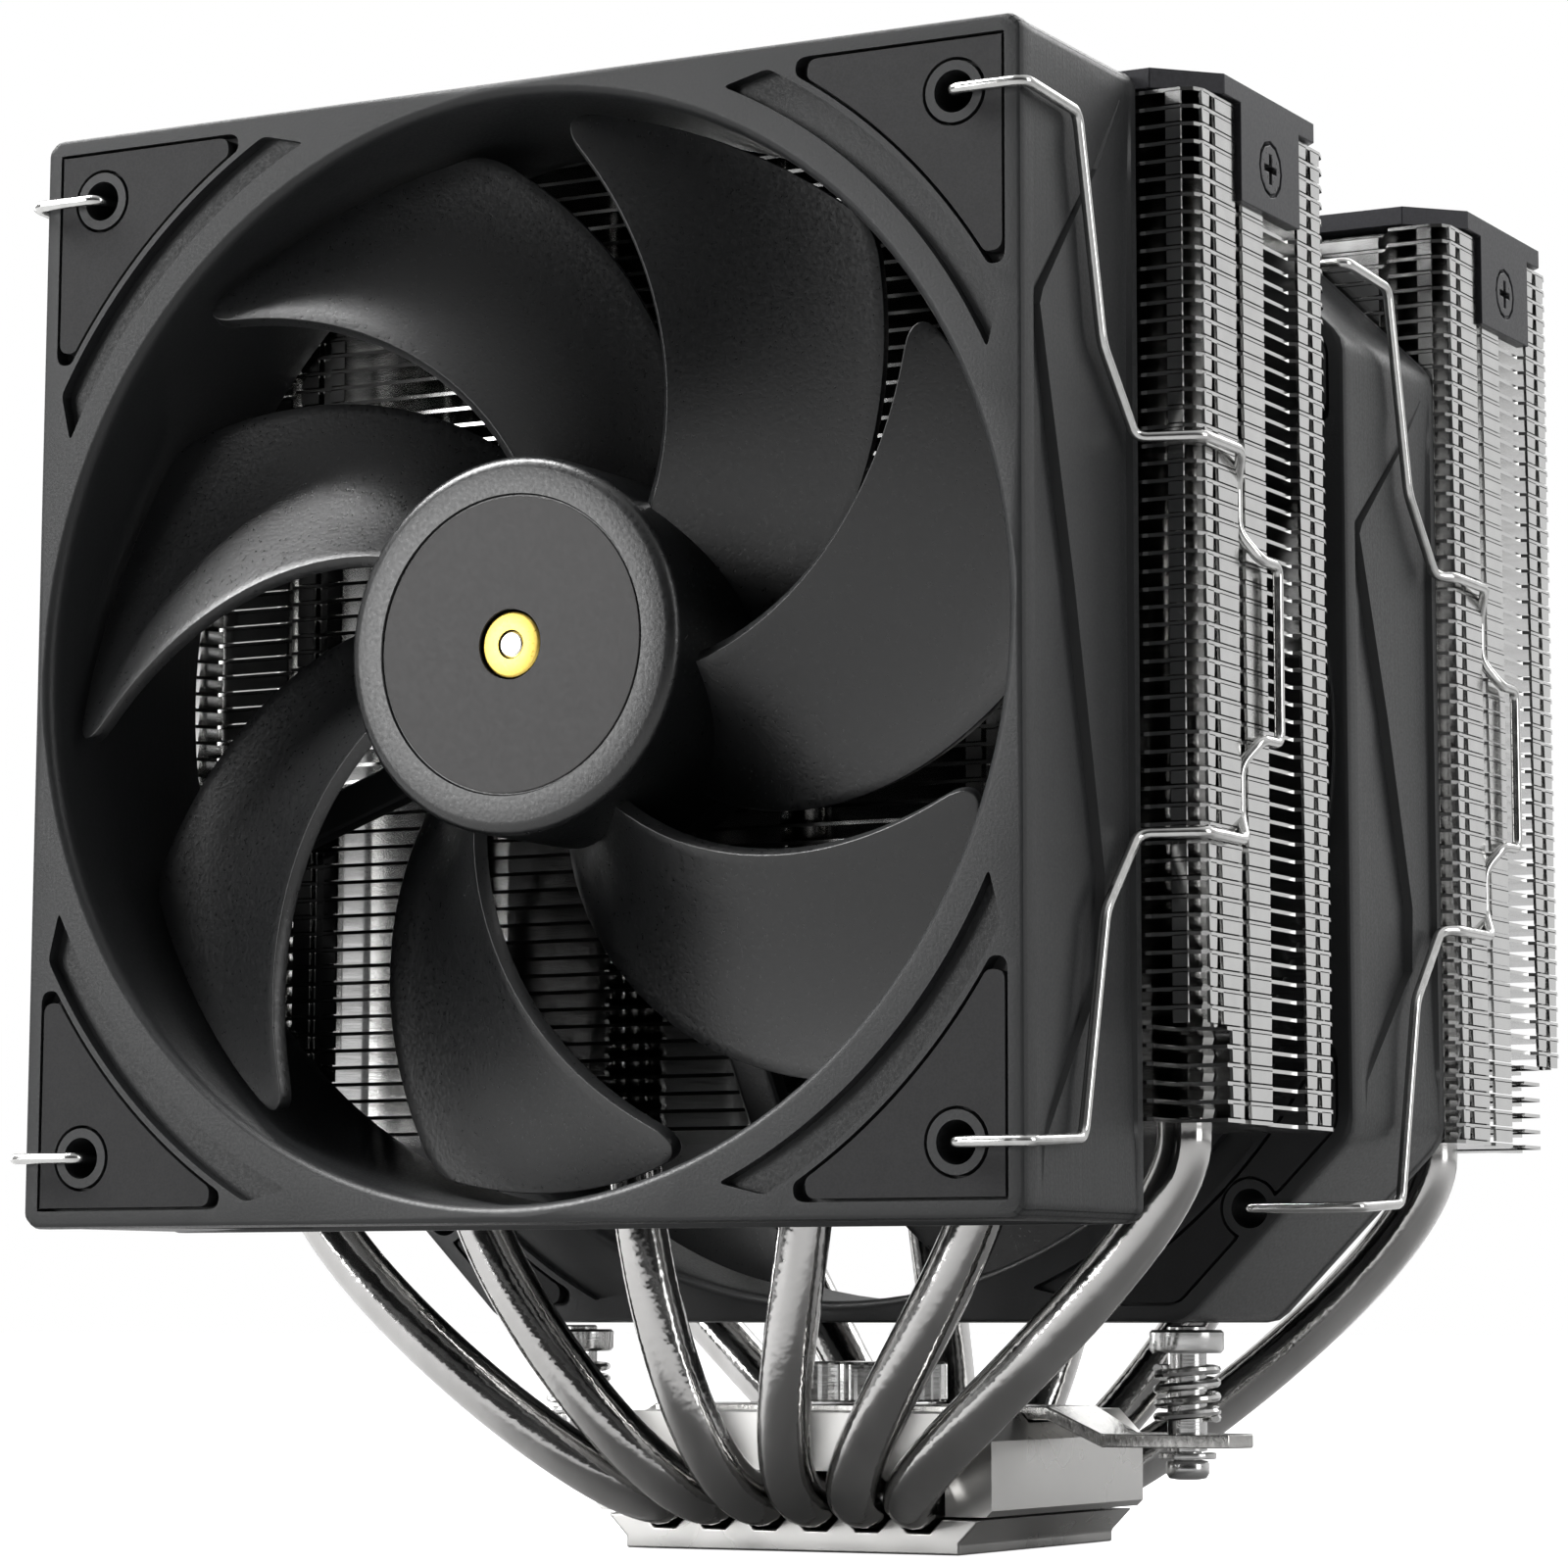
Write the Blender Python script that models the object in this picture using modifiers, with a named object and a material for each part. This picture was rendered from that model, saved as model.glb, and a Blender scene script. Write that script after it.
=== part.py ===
"""Twin tower processor cooler: two fin stacks on six U-shaped heat pipes, with two axial fans.

Metres, +Z up. The origin is the middle of the cold plate's underside, which rests on the processor.
Air goes in at the front (-Y) and leaves at the back (+Y).
"""

import math
from collections import namedtuple

import bmesh
import bpy
from mathutils import Matrix, Vector

# Clearances
GAP = 0.0003  # between two pieces that touch or press on each other
SHARP_ANGLE = math.radians(35)
SHARP_BEND = math.radians(50)

# Towers
MIDDLE_AIR_GAP = 0.0071  # between the front tower and the middle fan
FIN_WIDTH = 0.133
FIN_DEPTH = 0.0366
FIN_THICKNESS = 0.0005
FIN_COUNT = 29
STACK_BOTTOM = 0.0459
STACK_TOP = 0.1536
FIN_CORNER = 0.0020
SIDE_WALL = 0.0024  # the folded side tabs, which stand on each other as a wall
SIDE_RECESS_DEPTH = 0.0010
SIDE_RECESS = (-0.0009, 0.0086)  # from the tower's middle towards the back
CLIP_GROOVE_OFFSET = -0.0075  # from the tower's middle
CLIP_GROOVE_FLARE = 0.0014
GROOVE_WIRE_PROUD = 0.0001  # how far the wire in the groove stands out of it
SEAT_FIN_THICKNESS = 0.0012
LOW_CORNER_TOP = 0.0572
LOW_CORNER_WIDTH = 0.0058
FRONT_LOW_CORNER = 0.0056  # how far the lowest fins of the front tower stop short of its face
REAR_LOW_CORNER = 0.0150

# Top covers
COVER_THICKNESS = 0.0022
COVER_OVERHANG = 0.0006
COVER_CORNER = 0.0060
TAB_WIDTH = 0.0160
TAB_DROP = 0.0106
TAB_THICKNESS = 0.0016
COVER_SCREW_DROP = 0.0056  # from the cover's underside to the screw's axis
COVER_SCREW_HEAD_RADIUS = 0.0027
COVER_SCREW_HEAD_HEIGHT = 0.0014
COVER_SCREW_RADIUS = 0.0015
COVER_SCREW_LENGTH = 0.0065
COVER_SCREW_RIM = 0.15  # of the head's height, straight before it tapers
CROSS_ARM = 0.62  # of the head's radius
CROSS_HALF_WIDTH = 0.14  # of the head's radius
CROSS_DEPTH = 0.7  # of the head's height
SCREW_LUG_HEIGHT = 0.0070

# Heat pipes
PIPE_RADIUS = 0.0030
PIPE_PAIRS = 3
WALL_BETWEEN_PIPES = 0.0005  # in the base
OUTER_PIPE_FROM_SIDE = 0.0105  # from the fins' side to the outermost pipe's middle
PLATE_UNDER_PIPES = 0.0027
PIPE_TOP_SHORTFALL = 0.0010  # the sealed pipe ends stop this far below the cover
PIPE_BEND_REACH = 0.0160
PIPE_BEND_RISE = 0.0120
PIPE_BEND_POINTS = 7
PIPE_BORE_SIDES = 8
CHANNEL_CREST = 0.9  # of the channel's radius, where the crest beside the last pipe is cut flat

# Base
BASE_DEPTH = 0.0404
COLD_PLATE_WIDTH = 0.0426
COLD_PLATE_HEIGHT = 0.0039
COLD_PLATE_LIP = 0.0013
BLOCK_WIDTH = 0.0506
BLOCK_TOP = 0.0155
BLOCK_CHAMFER = 0.0030
BLOCK_LOWER_CHAMFER = 0.0007

# Mounting bar and its screws
BAR_BEYOND_SCREW = 0.0080
BAR_WIDTH = 0.0130
BAR_EAR_WIDTH = 0.0100
BAR_THICKNESS = 0.0015
BAR_SINK = 0.0009  # how deep the bar lies in the block's groove
BAR_JOG = 0.0030
BAR_JOG_SHARE = 0.408  # of the way from the block's side to the screw
SCREW_SPACING = 0.0800
SPRING_SCREW_RADIUS = 0.0022
SPRING_SCREW_HEAD_RADIUS = 0.0042
SPRING_SCREW_HEAD_HEIGHT = 0.0026
SPRING_SCREW_STUB = 0.0005
SPRING_SCREW_BELOW_BAR = 0.0036
SPRING_LENGTH = 0.0084
SPRING_WIRE_RADIUS = 0.0005
SPRING_RADIUS = 0.0034
SPRING_TURNS = 4
SPRING_POINTS_PER_TURN = 8
SPRING_END_CLOSING = 0.35
RETAINER_RADIUS = 0.0033
RETAINER_THICKNESS = 0.0007
RETAINER_GROOVE_RADIUS = 0.0016
RETAINER_MOUTH = 0.75  # of the groove's radius, to each side
PRESSURE_SCREW_RADIUS = 0.0022
PRESSURE_HEAD_RADIUS = 0.0087
PRESSURE_HEAD_HEIGHT = 0.0046
PRESSURE_SCREW_ABOVE_PIPES = 0.0009
KNURL_DEPTH = 0.0005
KNURL_TEETH = 24

# Fans. The depths are measured back from the fan's front face.
Fan = namedtuple("Fan", "name half cut duct hole_place front bottom blade_phase")
FAN_DEPTH = 0.0280
FAN_SETBACK = 0.0004  # how far the rear pads stand proud of the frame
FRONT_FAN_SIZE = 0.120
FRONT_FAN_CUT = 0.0020
FRONT_FAN_RIM = 0.0020  # the frame's thickness where the duct comes nearest to its side
FRONT_FAN_HOLE_INSET = 0.0075
FRONT_FAN_BOTTOM = 0.0355
MIDDLE_FAN_SIZE = 0.130
MIDDLE_FAN_CUT = 0.0205
MIDDLE_FAN_RIM = 0.0025
MIDDLE_FAN_HOLE_INSET = 0.0125
MIDDLE_FAN_BOTTOM = 0.0255
HOLE_RADIUS = 0.0022
BOSS_RADIUS = 0.0031
BOSS_SIDES = 8
DUCT_SIDES = 32
PAD_THICKNESS = 0.0015
PAD_INSET = 0.0022
PAD_CLEAR_OF_DUCT = 0.0060
PAD_ARC_STEPS = 4
MOTOR_CUP_RADIUS = 0.0200
MOTOR_FLOOR = 0.0020
MOTOR_RIM_WALL = 0.0014
MOTOR_RIM_HEIGHT = 0.0030
STRUT_COUNT = 4
STRUT_WIDTH = 0.0045
STRUT_DEPTH = 0.0035
STRUT_TURN = math.radians(20)
TUBE_WALL = 0.0013
TUBE_FRONT = 0.0085
HUB_RADIUS = 0.0196
HUB_FRONT = 0.0013
HUB_DEPTH = 0.0210
HUB_WALL = 0.0015
HUB_CAP = 0.0022
HUB_ROUND = 0.0012
HUB_SIDES = 20
HUB_BOSS_WALL = 0.0014
HUB_BOSS_DEPTH = 0.0062
BUSH_RADIUS = 0.0034
SHAFT_RADIUS = 0.0014
BEARING_WALL = 0.0018
MAGNET_WALL = 0.0018
MAGNET_FRONT = 0.0080
MAGNET_DEPTH = 0.0130
STATOR_AIR_GAP = 0.0007
STATOR_FRONT = 0.0100
STATOR_DEPTH = 0.0090
STATOR_POLES = 6
POLE_NECK = 0.83  # of the shoe's radius, as are the next two
POLE_CORE = 0.5
POLE_HALF_WIDTH = 0.12
POLE_SHOE_HALF = math.radians(23)
BOARD_THICKNESS = 0.0010
BOARD_MARGIN = 0.0015
ROUND_SIDES = 12
BLADE_COUNT = 7
BLADE_TIP_CLEARANCE = 0.0014
BLADE_SWEEP = math.radians(42)
BLADE_BOW = 0.7  # of its thickness
BLADE_ROOT_CHORD = math.radians(41)
BLADE_TIP_CHORD = math.radians(38)
BLADE_ROOT_FRONT = 0.0062
BLADE_TIP_FRONT = 0.0032
BLADE_ROOT_DEPTH = 0.0135
BLADE_TIP_DEPTH = 0.0095
BLADE_THICKNESS = 0.0016
FRONT_BLADE_PHASE = math.radians(-45)
MIDDLE_BLADE_PHASE = math.radians(-20)
BLADE_RADIAL_STEPS = 4
BLADE_CHORD_STEPS = 2

# Wire clips
WIRE_RADIUS = 0.00065
HOOK_DEPTH = 0.0030
CLIP_LEG_HEIGHT = 0.0205  # from the fan's middle
CLIP_LOOP_HEIGHT = 0.0095
CLIP_LOOP_REACH = 0.0066
CLIP_KNEE_HEIGHT = 0.0290
CLIP_BEND = 0.0006
CLIP_STRAIGHT = 0.4  # of the fan's depth
CLIP_KNEE = 0.6
BEND_SHARE = 0.4  # of the shorter stretch that a bend may take up

FAN_BACK = FIN_DEPTH / 2 + FAN_SETBACK + GAP + FAN_DEPTH  # a tower's middle to its fan's front
REAR_TOWER_Y = (FIN_DEPTH / 2 + MIDDLE_AIR_GAP + FAN_BACK) / 2
FRONT_TOWER_Y = -REAR_TOWER_Y
COVER_BOTTOM = STACK_TOP + GAP
COVER_TOP = COVER_BOTTOM + COVER_THICKNESS
SIDE_X = FIN_WIDTH / 2
TAB_OUTER_X = SIDE_X + COVER_OVERHANG
TAB_INNER_X = TAB_OUTER_X - TAB_THICKNESS
GROOVE_WIRE_X = SIDE_X - WIRE_RADIUS + GROOVE_WIRE_PROUD
BASE_PIPE_PITCH = 2 * PIPE_RADIUS + WALL_BETWEEN_PIPES
TOWER_PIPE_PITCH = (FIN_WIDTH - 2 * OUTER_PIPE_FROM_SIDE) / (2 * PIPE_PAIRS - 1)
PIPE_CENTRE_HEIGHT = PLATE_UNDER_PIPES + PIPE_RADIUS
BAR_LENGTH = SCREW_SPACING + 2 * BAR_BEYOND_SCREW
BAR_JOG_LENGTH = BAR_JOG_SHARE * (SCREW_SPACING - BLOCK_WIDTH) / 2
BAR_BOTTOM = BLOCK_TOP - BAR_SINK
PRESSURE_SCREW_END = PIPE_CENTRE_HEIGHT + PIPE_RADIUS + PRESSURE_SCREW_ABOVE_PIPES
EAR_BOTTOM = BAR_BOTTOM - BAR_JOG
EAR_TOP = EAR_BOTTOM + BAR_THICKNESS


def clear_scene():
    for obj in list(bpy.data.objects):
        bpy.data.objects.remove(obj, do_unlink=True)


def new_collection(name, hidden):
    made = bpy.data.collections.new(name)
    made.hide_render = hidden
    bpy.context.scene.collection.children.link(made)
    return made


clear_scene()
PARTS = new_collection("cpu_tower_cooler", hidden=False)
CUTTERS = new_collection("cutters", hidden=True)


# ---------------------------------------------------------------- tools


def finish(name, colour, roughness, metallic):
    made = bpy.data.materials.new(name)
    made.use_nodes = True
    shader = made.node_tree.nodes["Principled BSDF"]
    shader.inputs["Base Color"].default_value = (*colour, 1)
    shader.inputs["Roughness"].default_value = roughness
    shader.inputs["Metallic"].default_value = metallic
    return made


def black_plastic(name):
    return finish(name, (0.012, 0.012, 0.013), 0.45, 0.0)


def dark_rubber(name):
    return finish(name, (0.018, 0.018, 0.019), 0.8, 0.0)


def nickel(name):
    return finish(name, (0.62, 0.61, 0.60), 0.22, 1.0)


def bright_steel(name):
    return finish(name, (0.58, 0.58, 0.58), 0.28, 1.0)


def mesh_object(name, mesh, material=None):
    """A part when it has a material, and otherwise a cutter or a piece that is joined to a part."""
    obj = bpy.data.objects.new(name, mesh)
    if material:
        mesh.materials.clear()
        mesh.materials.append(material)
        PARTS.objects.link(obj)
    else:
        obj.hide_render = True
        obj.display_type = "WIRE"
        CUTTERS.objects.link(obj)
    return obj


def mesh_from(bm, name):
    mesh = bpy.data.meshes.new(name)
    bm.to_mesh(mesh)
    bm.free()
    mesh.shade_smooth()
    mesh.set_sharp_from_angle(angle=SHARP_ANGLE)
    return mesh


def place(obj, location=(0, 0, 0), rotation=(0, 0, 0), parent=None):
    obj.location = location
    obj.rotation_euler = rotation
    obj.parent = parent
    return obj


def boxes(name, spans):
    """A cutter or a piece to join: boxes, each given by its lowest and highest corner."""
    bm = bmesh.new()
    for low, high in spans:
        low = Vector(low)
        high = Vector(high)
        centre = Matrix.Translation((low + high) / 2)
        bmesh.ops.create_cube(bm, size=1, matrix=centre @ Matrix.Diagonal((*(high - low), 1)))
    return mesh_object(name, mesh_from(bm, name))


def rods(name, radius, sides, low, high, centres, material=None):
    """Upright round rods at the given (x, y) centres."""
    bm = bmesh.new()
    for x, y in centres:
        middle = Matrix.Translation((x, y, (low + high) / 2))
        bmesh.ops.create_cone(
            bm,
            cap_ends=True,
            segments=sides,
            radius1=radius,
            radius2=radius,
            depth=high - low,
            matrix=middle,
        )
    return mesh_object(name, mesh_from(bm, name), material)


def flat_plate(name, loops, low, high, material=None):
    """A flat outline between two heights. The first loop is its edge and the others are holes."""
    curve = bpy.data.curves.new(name, "CURVE")
    curve.dimensions = "2D"
    curve.fill_mode = "BOTH"
    curve.extrude = (high - low) / 2
    for loop in loops:
        spline = curve.splines.new("POLY")
        spline.points.add(len(loop) - 1)
        for point, (x, y) in zip(spline.points, loop):
            point.co = (x, y, 0, 1)
        spline.use_cyclic_u = True
    outline = bpy.data.objects.new(name + "_outline", curve)
    CUTTERS.objects.link(outline)
    graph = bpy.context.evaluated_depsgraph_get()
    mesh = bpy.data.meshes.new_from_object(outline.evaluated_get(graph))
    bpy.data.objects.remove(outline, do_unlink=True)
    bm = bmesh.new()
    bm.from_mesh(mesh)
    bmesh.ops.remove_doubles(bm, verts=bm.verts, dist=1e-7)
    bmesh.ops.recalc_face_normals(bm, faces=bm.faces)
    bmesh.ops.translate(bm, verts=bm.verts, vec=(0, 0, (low + high) / 2))
    return mesh_object(name, mesh_from(bm, name), material)


def turned(name, profile, sides, material=None, ring=False):
    """A profile of (radius, height) points, turned about Z. It runs down its outer side."""
    bm = bmesh.new()
    verts = [bm.verts.new((radius, 0, height)) for radius, height in profile]
    for first, second in zip(verts, verts[1:]):
        bm.edges.new((first, second))
    if ring:
        bm.edges.new((verts[-1], verts[0]))
    obj = mesh_object(name, mesh_from(bm, name), material)
    screw = obj.modifiers.new("turn", "SCREW")
    screw.steps = sides
    screw.render_steps = sides
    screw.use_merge_vertices = True
    screw.merge_threshold = 1e-6
    screw.use_smooth_shade = True
    return obj


def tube(name, points, radius, material, resolution=2):
    """A round wire or pipe along a smooth run of points."""
    curve = bpy.data.curves.new(name, "CURVE")
    curve.dimensions = "3D"
    curve.bevel_depth = radius
    curve.bevel_resolution = resolution
    curve.use_fill_caps = True
    spline = curve.splines.new("POLY")
    spline.points.add(len(points) - 1)
    for point, place_at in zip(spline.points, points):
        point.co = (*place_at, 1)
    spline.use_smooth = True
    curve.materials.append(material)
    obj = bpy.data.objects.new(name, curve)
    PARTS.objects.link(obj)
    return obj


def boolean(obj, other, operation):
    modifier = obj.modifiers.new(other.name, "BOOLEAN")
    modifier.operation = operation
    modifier.solver = "EXACT"
    modifier.object = other
    return obj


def cut(obj, other):
    return boolean(obj, other, "DIFFERENCE")


def join(obj, other):
    return boolean(obj, other, "UNION")


def hole(radius, sides):
    """The radius of a polygonal hole that clears a round piece of this radius by GAP."""
    return (radius + GAP) / math.cos(math.pi / sides)


def circle(radius, sides, centre=(0, 0)):
    turns = [2 * math.pi * k / sides for k in range(sides)]
    return [(centre[0] + radius * math.cos(t), centre[1] + radius * math.sin(t)) for t in turns]


def cut_corner_rectangle(half_x, half_y, cut_back, centre_y=0.0):
    """A rectangle whose four corners are cut off at 45 degrees."""
    quarter = [(half_x, half_y - cut_back), (half_x - cut_back, half_y)]
    right = quarter + [(-x, y) for x, y in reversed(quarter)]
    whole = right + [(-x, -y) for x, y in right]
    return [(x, y + centre_y) for x, y in whole]


def soft_corners(points, cut_back):
    """The same path with each sharp corner replaced by two points, as a small bend."""
    points = [Vector(point) for point in points]
    path = [points[0]]
    for before, corner, after in zip(points, points[1:], points[2:]):
        if (corner - before).angle(after - corner) < SHARP_BEND:
            path.append(corner)
            continue
        for neighbour in (before, after):
            step = neighbour - corner
            path.append(corner + step.normalized() * min(cut_back, step.length * BEND_SHARE))
    return path + [points[-1]]


# ---------------------------------------------------------------- base


def pipe_base_x(index, side):
    return side * BASE_PIPE_PITCH * (index + 0.5)


def pipe_tower_x(index, side):
    return side * TOWER_PIPE_PITCH * (index + 0.5)


def channel_cutter(name):
    """Six round channels side by side along the base, through both of its halves."""
    radius = hole(PIPE_RADIUS, PIPE_BORE_SIDES)
    channels = None
    for side in (-1, 1):
        for index in range(PIPE_PAIRS):
            rod = rods(f"{name}_{side}_{index}", radius, PIPE_BORE_SIDES, -BASE_DEPTH, BASE_DEPTH, [(0, 0)])
            place(rod, (pipe_base_x(index, side), 0, PIPE_CENTRE_HEIGHT), (math.pi / 2, 0, 0))
            rod.data.transform(Matrix.Rotation(math.pi / PIPE_BORE_SIDES, 4, "Z"))
            if channels:
                join(channels, rod)
            else:
                channels = rod
    return channels


def make_cold_plate():
    half = COLD_PLATE_WIDTH / 2
    flare = COLD_PLATE_HEIGHT - COLD_PLATE_LIP
    right = [(half, 0), (half, COLD_PLATE_LIP), (half + flare, COLD_PLATE_HEIGHT)]
    outline = right + [(-x, z) for x, z in reversed(right)]
    plate = flat_plate("cold_plate", [outline], -BASE_DEPTH / 2, BASE_DEPTH / 2, nickel("cold_plate_nickel"))
    place(plate, rotation=(math.pi / 2, 0, 0))
    cut(plate, channel_cutter("cold_plate_channels"))


def make_base_block():
    half = BLOCK_WIDTH / 2
    bottom = COLD_PLATE_HEIGHT + GAP
    right = [
        (half - BLOCK_LOWER_CHAMFER, bottom),
        (half, bottom + BLOCK_LOWER_CHAMFER),
        (half, BLOCK_TOP - BLOCK_CHAMFER),
        (half - BLOCK_CHAMFER, BLOCK_TOP),
    ]
    outline = right + [(-x, z) for x, z in reversed(right)]
    block = flat_plate("base_block", [outline], -BASE_DEPTH / 2, BASE_DEPTH / 2, nickel("base_block_nickel"))
    place(block, rotation=(math.pi / 2, 0, 0))
    cut(block, channel_cutter("block_channels"))
    # The crests between the channels are thinner than the clearance, so one flat cut clears them.
    channel_half = pipe_base_x(PIPE_PAIRS - 1, 1) + hole(PIPE_RADIUS, PIPE_BORE_SIDES) * CHANNEL_CREST
    low = (-channel_half, -BASE_DEPTH, bottom - BLOCK_CHAMFER)
    high = (channel_half, BASE_DEPTH, PIPE_CENTRE_HEIGHT + PIPE_RADIUS / 2)
    cut(block, boxes("channel_floor", [(low, high)]))
    groove_half = BAR_WIDTH / 2 + GAP
    groove_low = (-BLOCK_WIDTH, -groove_half, BAR_BOTTOM - GAP)
    groove_high = (BLOCK_WIDTH, groove_half, BLOCK_TOP + BAR_THICKNESS)
    cut(block, boxes("bar_groove", [(groove_low, groove_high)]))
    bore = hole(PRESSURE_SCREW_RADIUS, ROUND_SIDES)
    bore_floor = PRESSURE_SCREW_END - GAP
    cut(block, rods("pressure_bore", bore, ROUND_SIDES, bore_floor, BLOCK_TOP + BAR_THICKNESS, [(0, 0)]))


def bend_points(start, leave, arrive, end):
    """Points along a smooth bend that leaves and arrives along the given handles."""
    points = []
    for step in range(1, PIPE_BEND_POINTS):
        t = step / PIPE_BEND_POINTS
        s = 1 - t
        points.append(s**3 * start + 3 * s * s * t * leave + 3 * s * t * t * arrive + t**3 * end)
    return points


def make_heat_pipe(number, index, side):
    base_x = pipe_base_x(index, side)
    tower_x = pipe_tower_x(index, side)
    exit_y = BASE_DEPTH / 2 + GAP
    front = [
        Vector((tower_x, FRONT_TOWER_Y, STACK_TOP - PIPE_TOP_SHORTFALL)),
        Vector((tower_x, FRONT_TOWER_Y, STACK_BOTTOM - 3 * GAP)),
    ]
    base_front = Vector((base_x, -exit_y, PIPE_CENTRE_HEIGHT))
    leave = base_front - Vector((0, PIPE_BEND_REACH, 0))
    arrive = front[1] - Vector((0, 0, PIPE_BEND_RISE))
    front += reversed(bend_points(base_front, leave, arrive, front[1]))
    front.append(base_front)
    rear = [Vector((point.x, -point.y, point.z)) for point in reversed(front)]
    tube(f"heat_pipe_{number}", front + rear, PIPE_RADIUS, nickel(f"heat_pipe_{number}_nickel"))


def make_heat_pipes():
    places = [(index, -1) for index in reversed(range(PIPE_PAIRS))]
    places += [(index, 1) for index in range(PIPE_PAIRS)]
    for number, (index, side) in enumerate(places, start=1):
        make_heat_pipe(number, index, side)


# ---------------------------------------------------------------- towers


def fin_heights():
    """The underside and the top of each fin, from the lowest up."""
    pitch = (STACK_TOP - STACK_BOTTOM - FIN_THICKNESS) / (FIN_COUNT - 1)
    seats = (0, FIN_COUNT // 2, FIN_COUNT - 1)
    heights = []
    for index in range(FIN_COUNT):
        thickness = SEAT_FIN_THICKNESS if index in seats else FIN_THICKNESS
        low = STACK_BOTTOM + index * pitch
        if index == FIN_COUNT - 1:
            low = STACK_TOP - thickness
        heights.append((low, low + thickness))
    return heights


def clip_groove_cutter(name, side):
    """A groove with flared walls, where the wire clip drops in."""
    floor_x = GROOVE_WIRE_X - WIRE_RADIUS - GAP
    half = WIRE_RADIUS + GAP
    outer = half + CLIP_GROOVE_FLARE
    outline = [
        (side * floor_x, CLIP_GROOVE_OFFSET - half),
        (side * SIDE_X, CLIP_GROOVE_OFFSET - outer),
        (side * (SIDE_X + SIDE_WALL), CLIP_GROOVE_OFFSET - outer),
        (side * (SIDE_X + SIDE_WALL), CLIP_GROOVE_OFFSET + outer),
        (side * SIDE_X, CLIP_GROOVE_OFFSET + outer),
        (side * floor_x, CLIP_GROOVE_OFFSET + half),
    ]
    return flat_plate(name, [outline], STACK_BOTTOM - SIDE_WALL, STACK_TOP + SIDE_WALL)


def cover_screw_height():
    return COVER_BOTTOM - COVER_SCREW_DROP


def make_fin_stack(name, centre_y, low_corner):
    """Fins joined by their side walls. Three fins hold the pipes, and the others clear the row of pipes."""
    bore = hole(PIPE_RADIUS, PIPE_BORE_SIDES)
    bores = [
        circle(bore, PIPE_BORE_SIDES, (pipe_tower_x(index, side), 0))
        for side in (-1, 1)
        for index in range(PIPE_PAIRS)
    ]
    outline = cut_corner_rectangle(SIDE_X, FIN_DEPTH / 2, FIN_CORNER)
    metal = finish(name + "_aluminium", (0.66, 0.66, 0.66), 0.3, 1.0)
    stack = flat_plate(name, [outline] + bores, STACK_BOTTOM, STACK_TOP, metal)
    place(stack, (0, centre_y, 0))

    heights = fin_heights()
    window_x = SIDE_X - SIDE_WALL
    windows = [
        ((-window_x, -FIN_DEPTH, below[1]), (window_x, FIN_DEPTH, above[0]))
        for below, above in zip(heights, heights[1:])
    ]
    pieces = [boxes(name + "_air_gaps", windows)]
    slot_x = pipe_tower_x(PIPE_PAIRS - 1, 1) + bore
    middle = FIN_COUNT // 2
    slots = []
    for first, last in ((0, middle), (middle, FIN_COUNT - 1)):
        low = (heights[first][1] + heights[first + 1][0]) / 2
        high = (heights[last - 1][1] + heights[last][0]) / 2
        slots.append(((-slot_x, -bore, low), (slot_x, bore, high)))
    pieces.append(boxes(name + "_pipe_slot", slots))
    far = SIDE_X + SIDE_WALL
    outward = 1 if centre_y > 0 else -1
    face = outward * FIN_DEPTH / 2
    corner = sorted((face - outward * low_corner, face + outward * low_corner))
    for side in (-1, 1):
        inner = sorted((side * (SIDE_X - LOW_CORNER_WIDTH), side * far))
        low_cut = ((inner[0], corner[0], 0), (inner[1], corner[1], LOW_CORNER_TOP))
        pieces.append(boxes(f"{name}_low_corner_{side}", [low_cut]))
        pieces.append(clip_groove_cutter(f"{name}_clip_groove_{side}", side))
        recess = sorted((side * (SIDE_X - SIDE_RECESS_DEPTH), side * far))
        low = (recess[0], SIDE_RECESS[0], 0)
        high = (recess[1], SIDE_RECESS[1], STACK_TOP * 2)
        pieces.append(boxes(f"{name}_side_recess_{side}", [(low, high)]))
        tab = sorted((side * (TAB_INNER_X - GAP), side * far))
        low = (tab[0], -TAB_WIDTH / 2 - GAP, COVER_BOTTOM - TAB_DROP - GAP)
        high = (tab[1], TAB_WIDTH / 2 + GAP, STACK_TOP * 2)
        pieces.append(boxes(f"{name}_tab_recess_{side}", [(low, high)]))

    for piece in pieces:
        cut(stack, place(piece, (0, centre_y, 0)))
    screw_z = cover_screw_height()
    lug_half = SCREW_LUG_HEIGHT / 2
    lug_depth = COVER_SCREW_LENGTH + GAP
    for side in (-1, 1):
        span = sorted((side * (TAB_INNER_X - GAP), side * (TAB_OUTER_X - lug_depth)))
        low = (span[0], -lug_half, screw_z - lug_half)
        high = (span[1], lug_half, screw_z + lug_half)
        lug = boxes(f"{name}_screw_lug_{side}", [(low, high)])
        join(stack, place(lug, (0, centre_y, 0)))
    radius = hole(COVER_SCREW_RADIUS, PIPE_BORE_SIDES)
    reach = TAB_OUTER_X - COVER_SCREW_LENGTH + GAP
    for side in (-1, 1):
        screw_bore = rods(f"{name}_screw_bore_{side}", radius, PIPE_BORE_SIDES, reach, far, [(0, 0)])
        place(screw_bore, (0, centre_y, screw_z), (0, side * math.pi / 2, 0))
        cut(stack, screw_bore)


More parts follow.
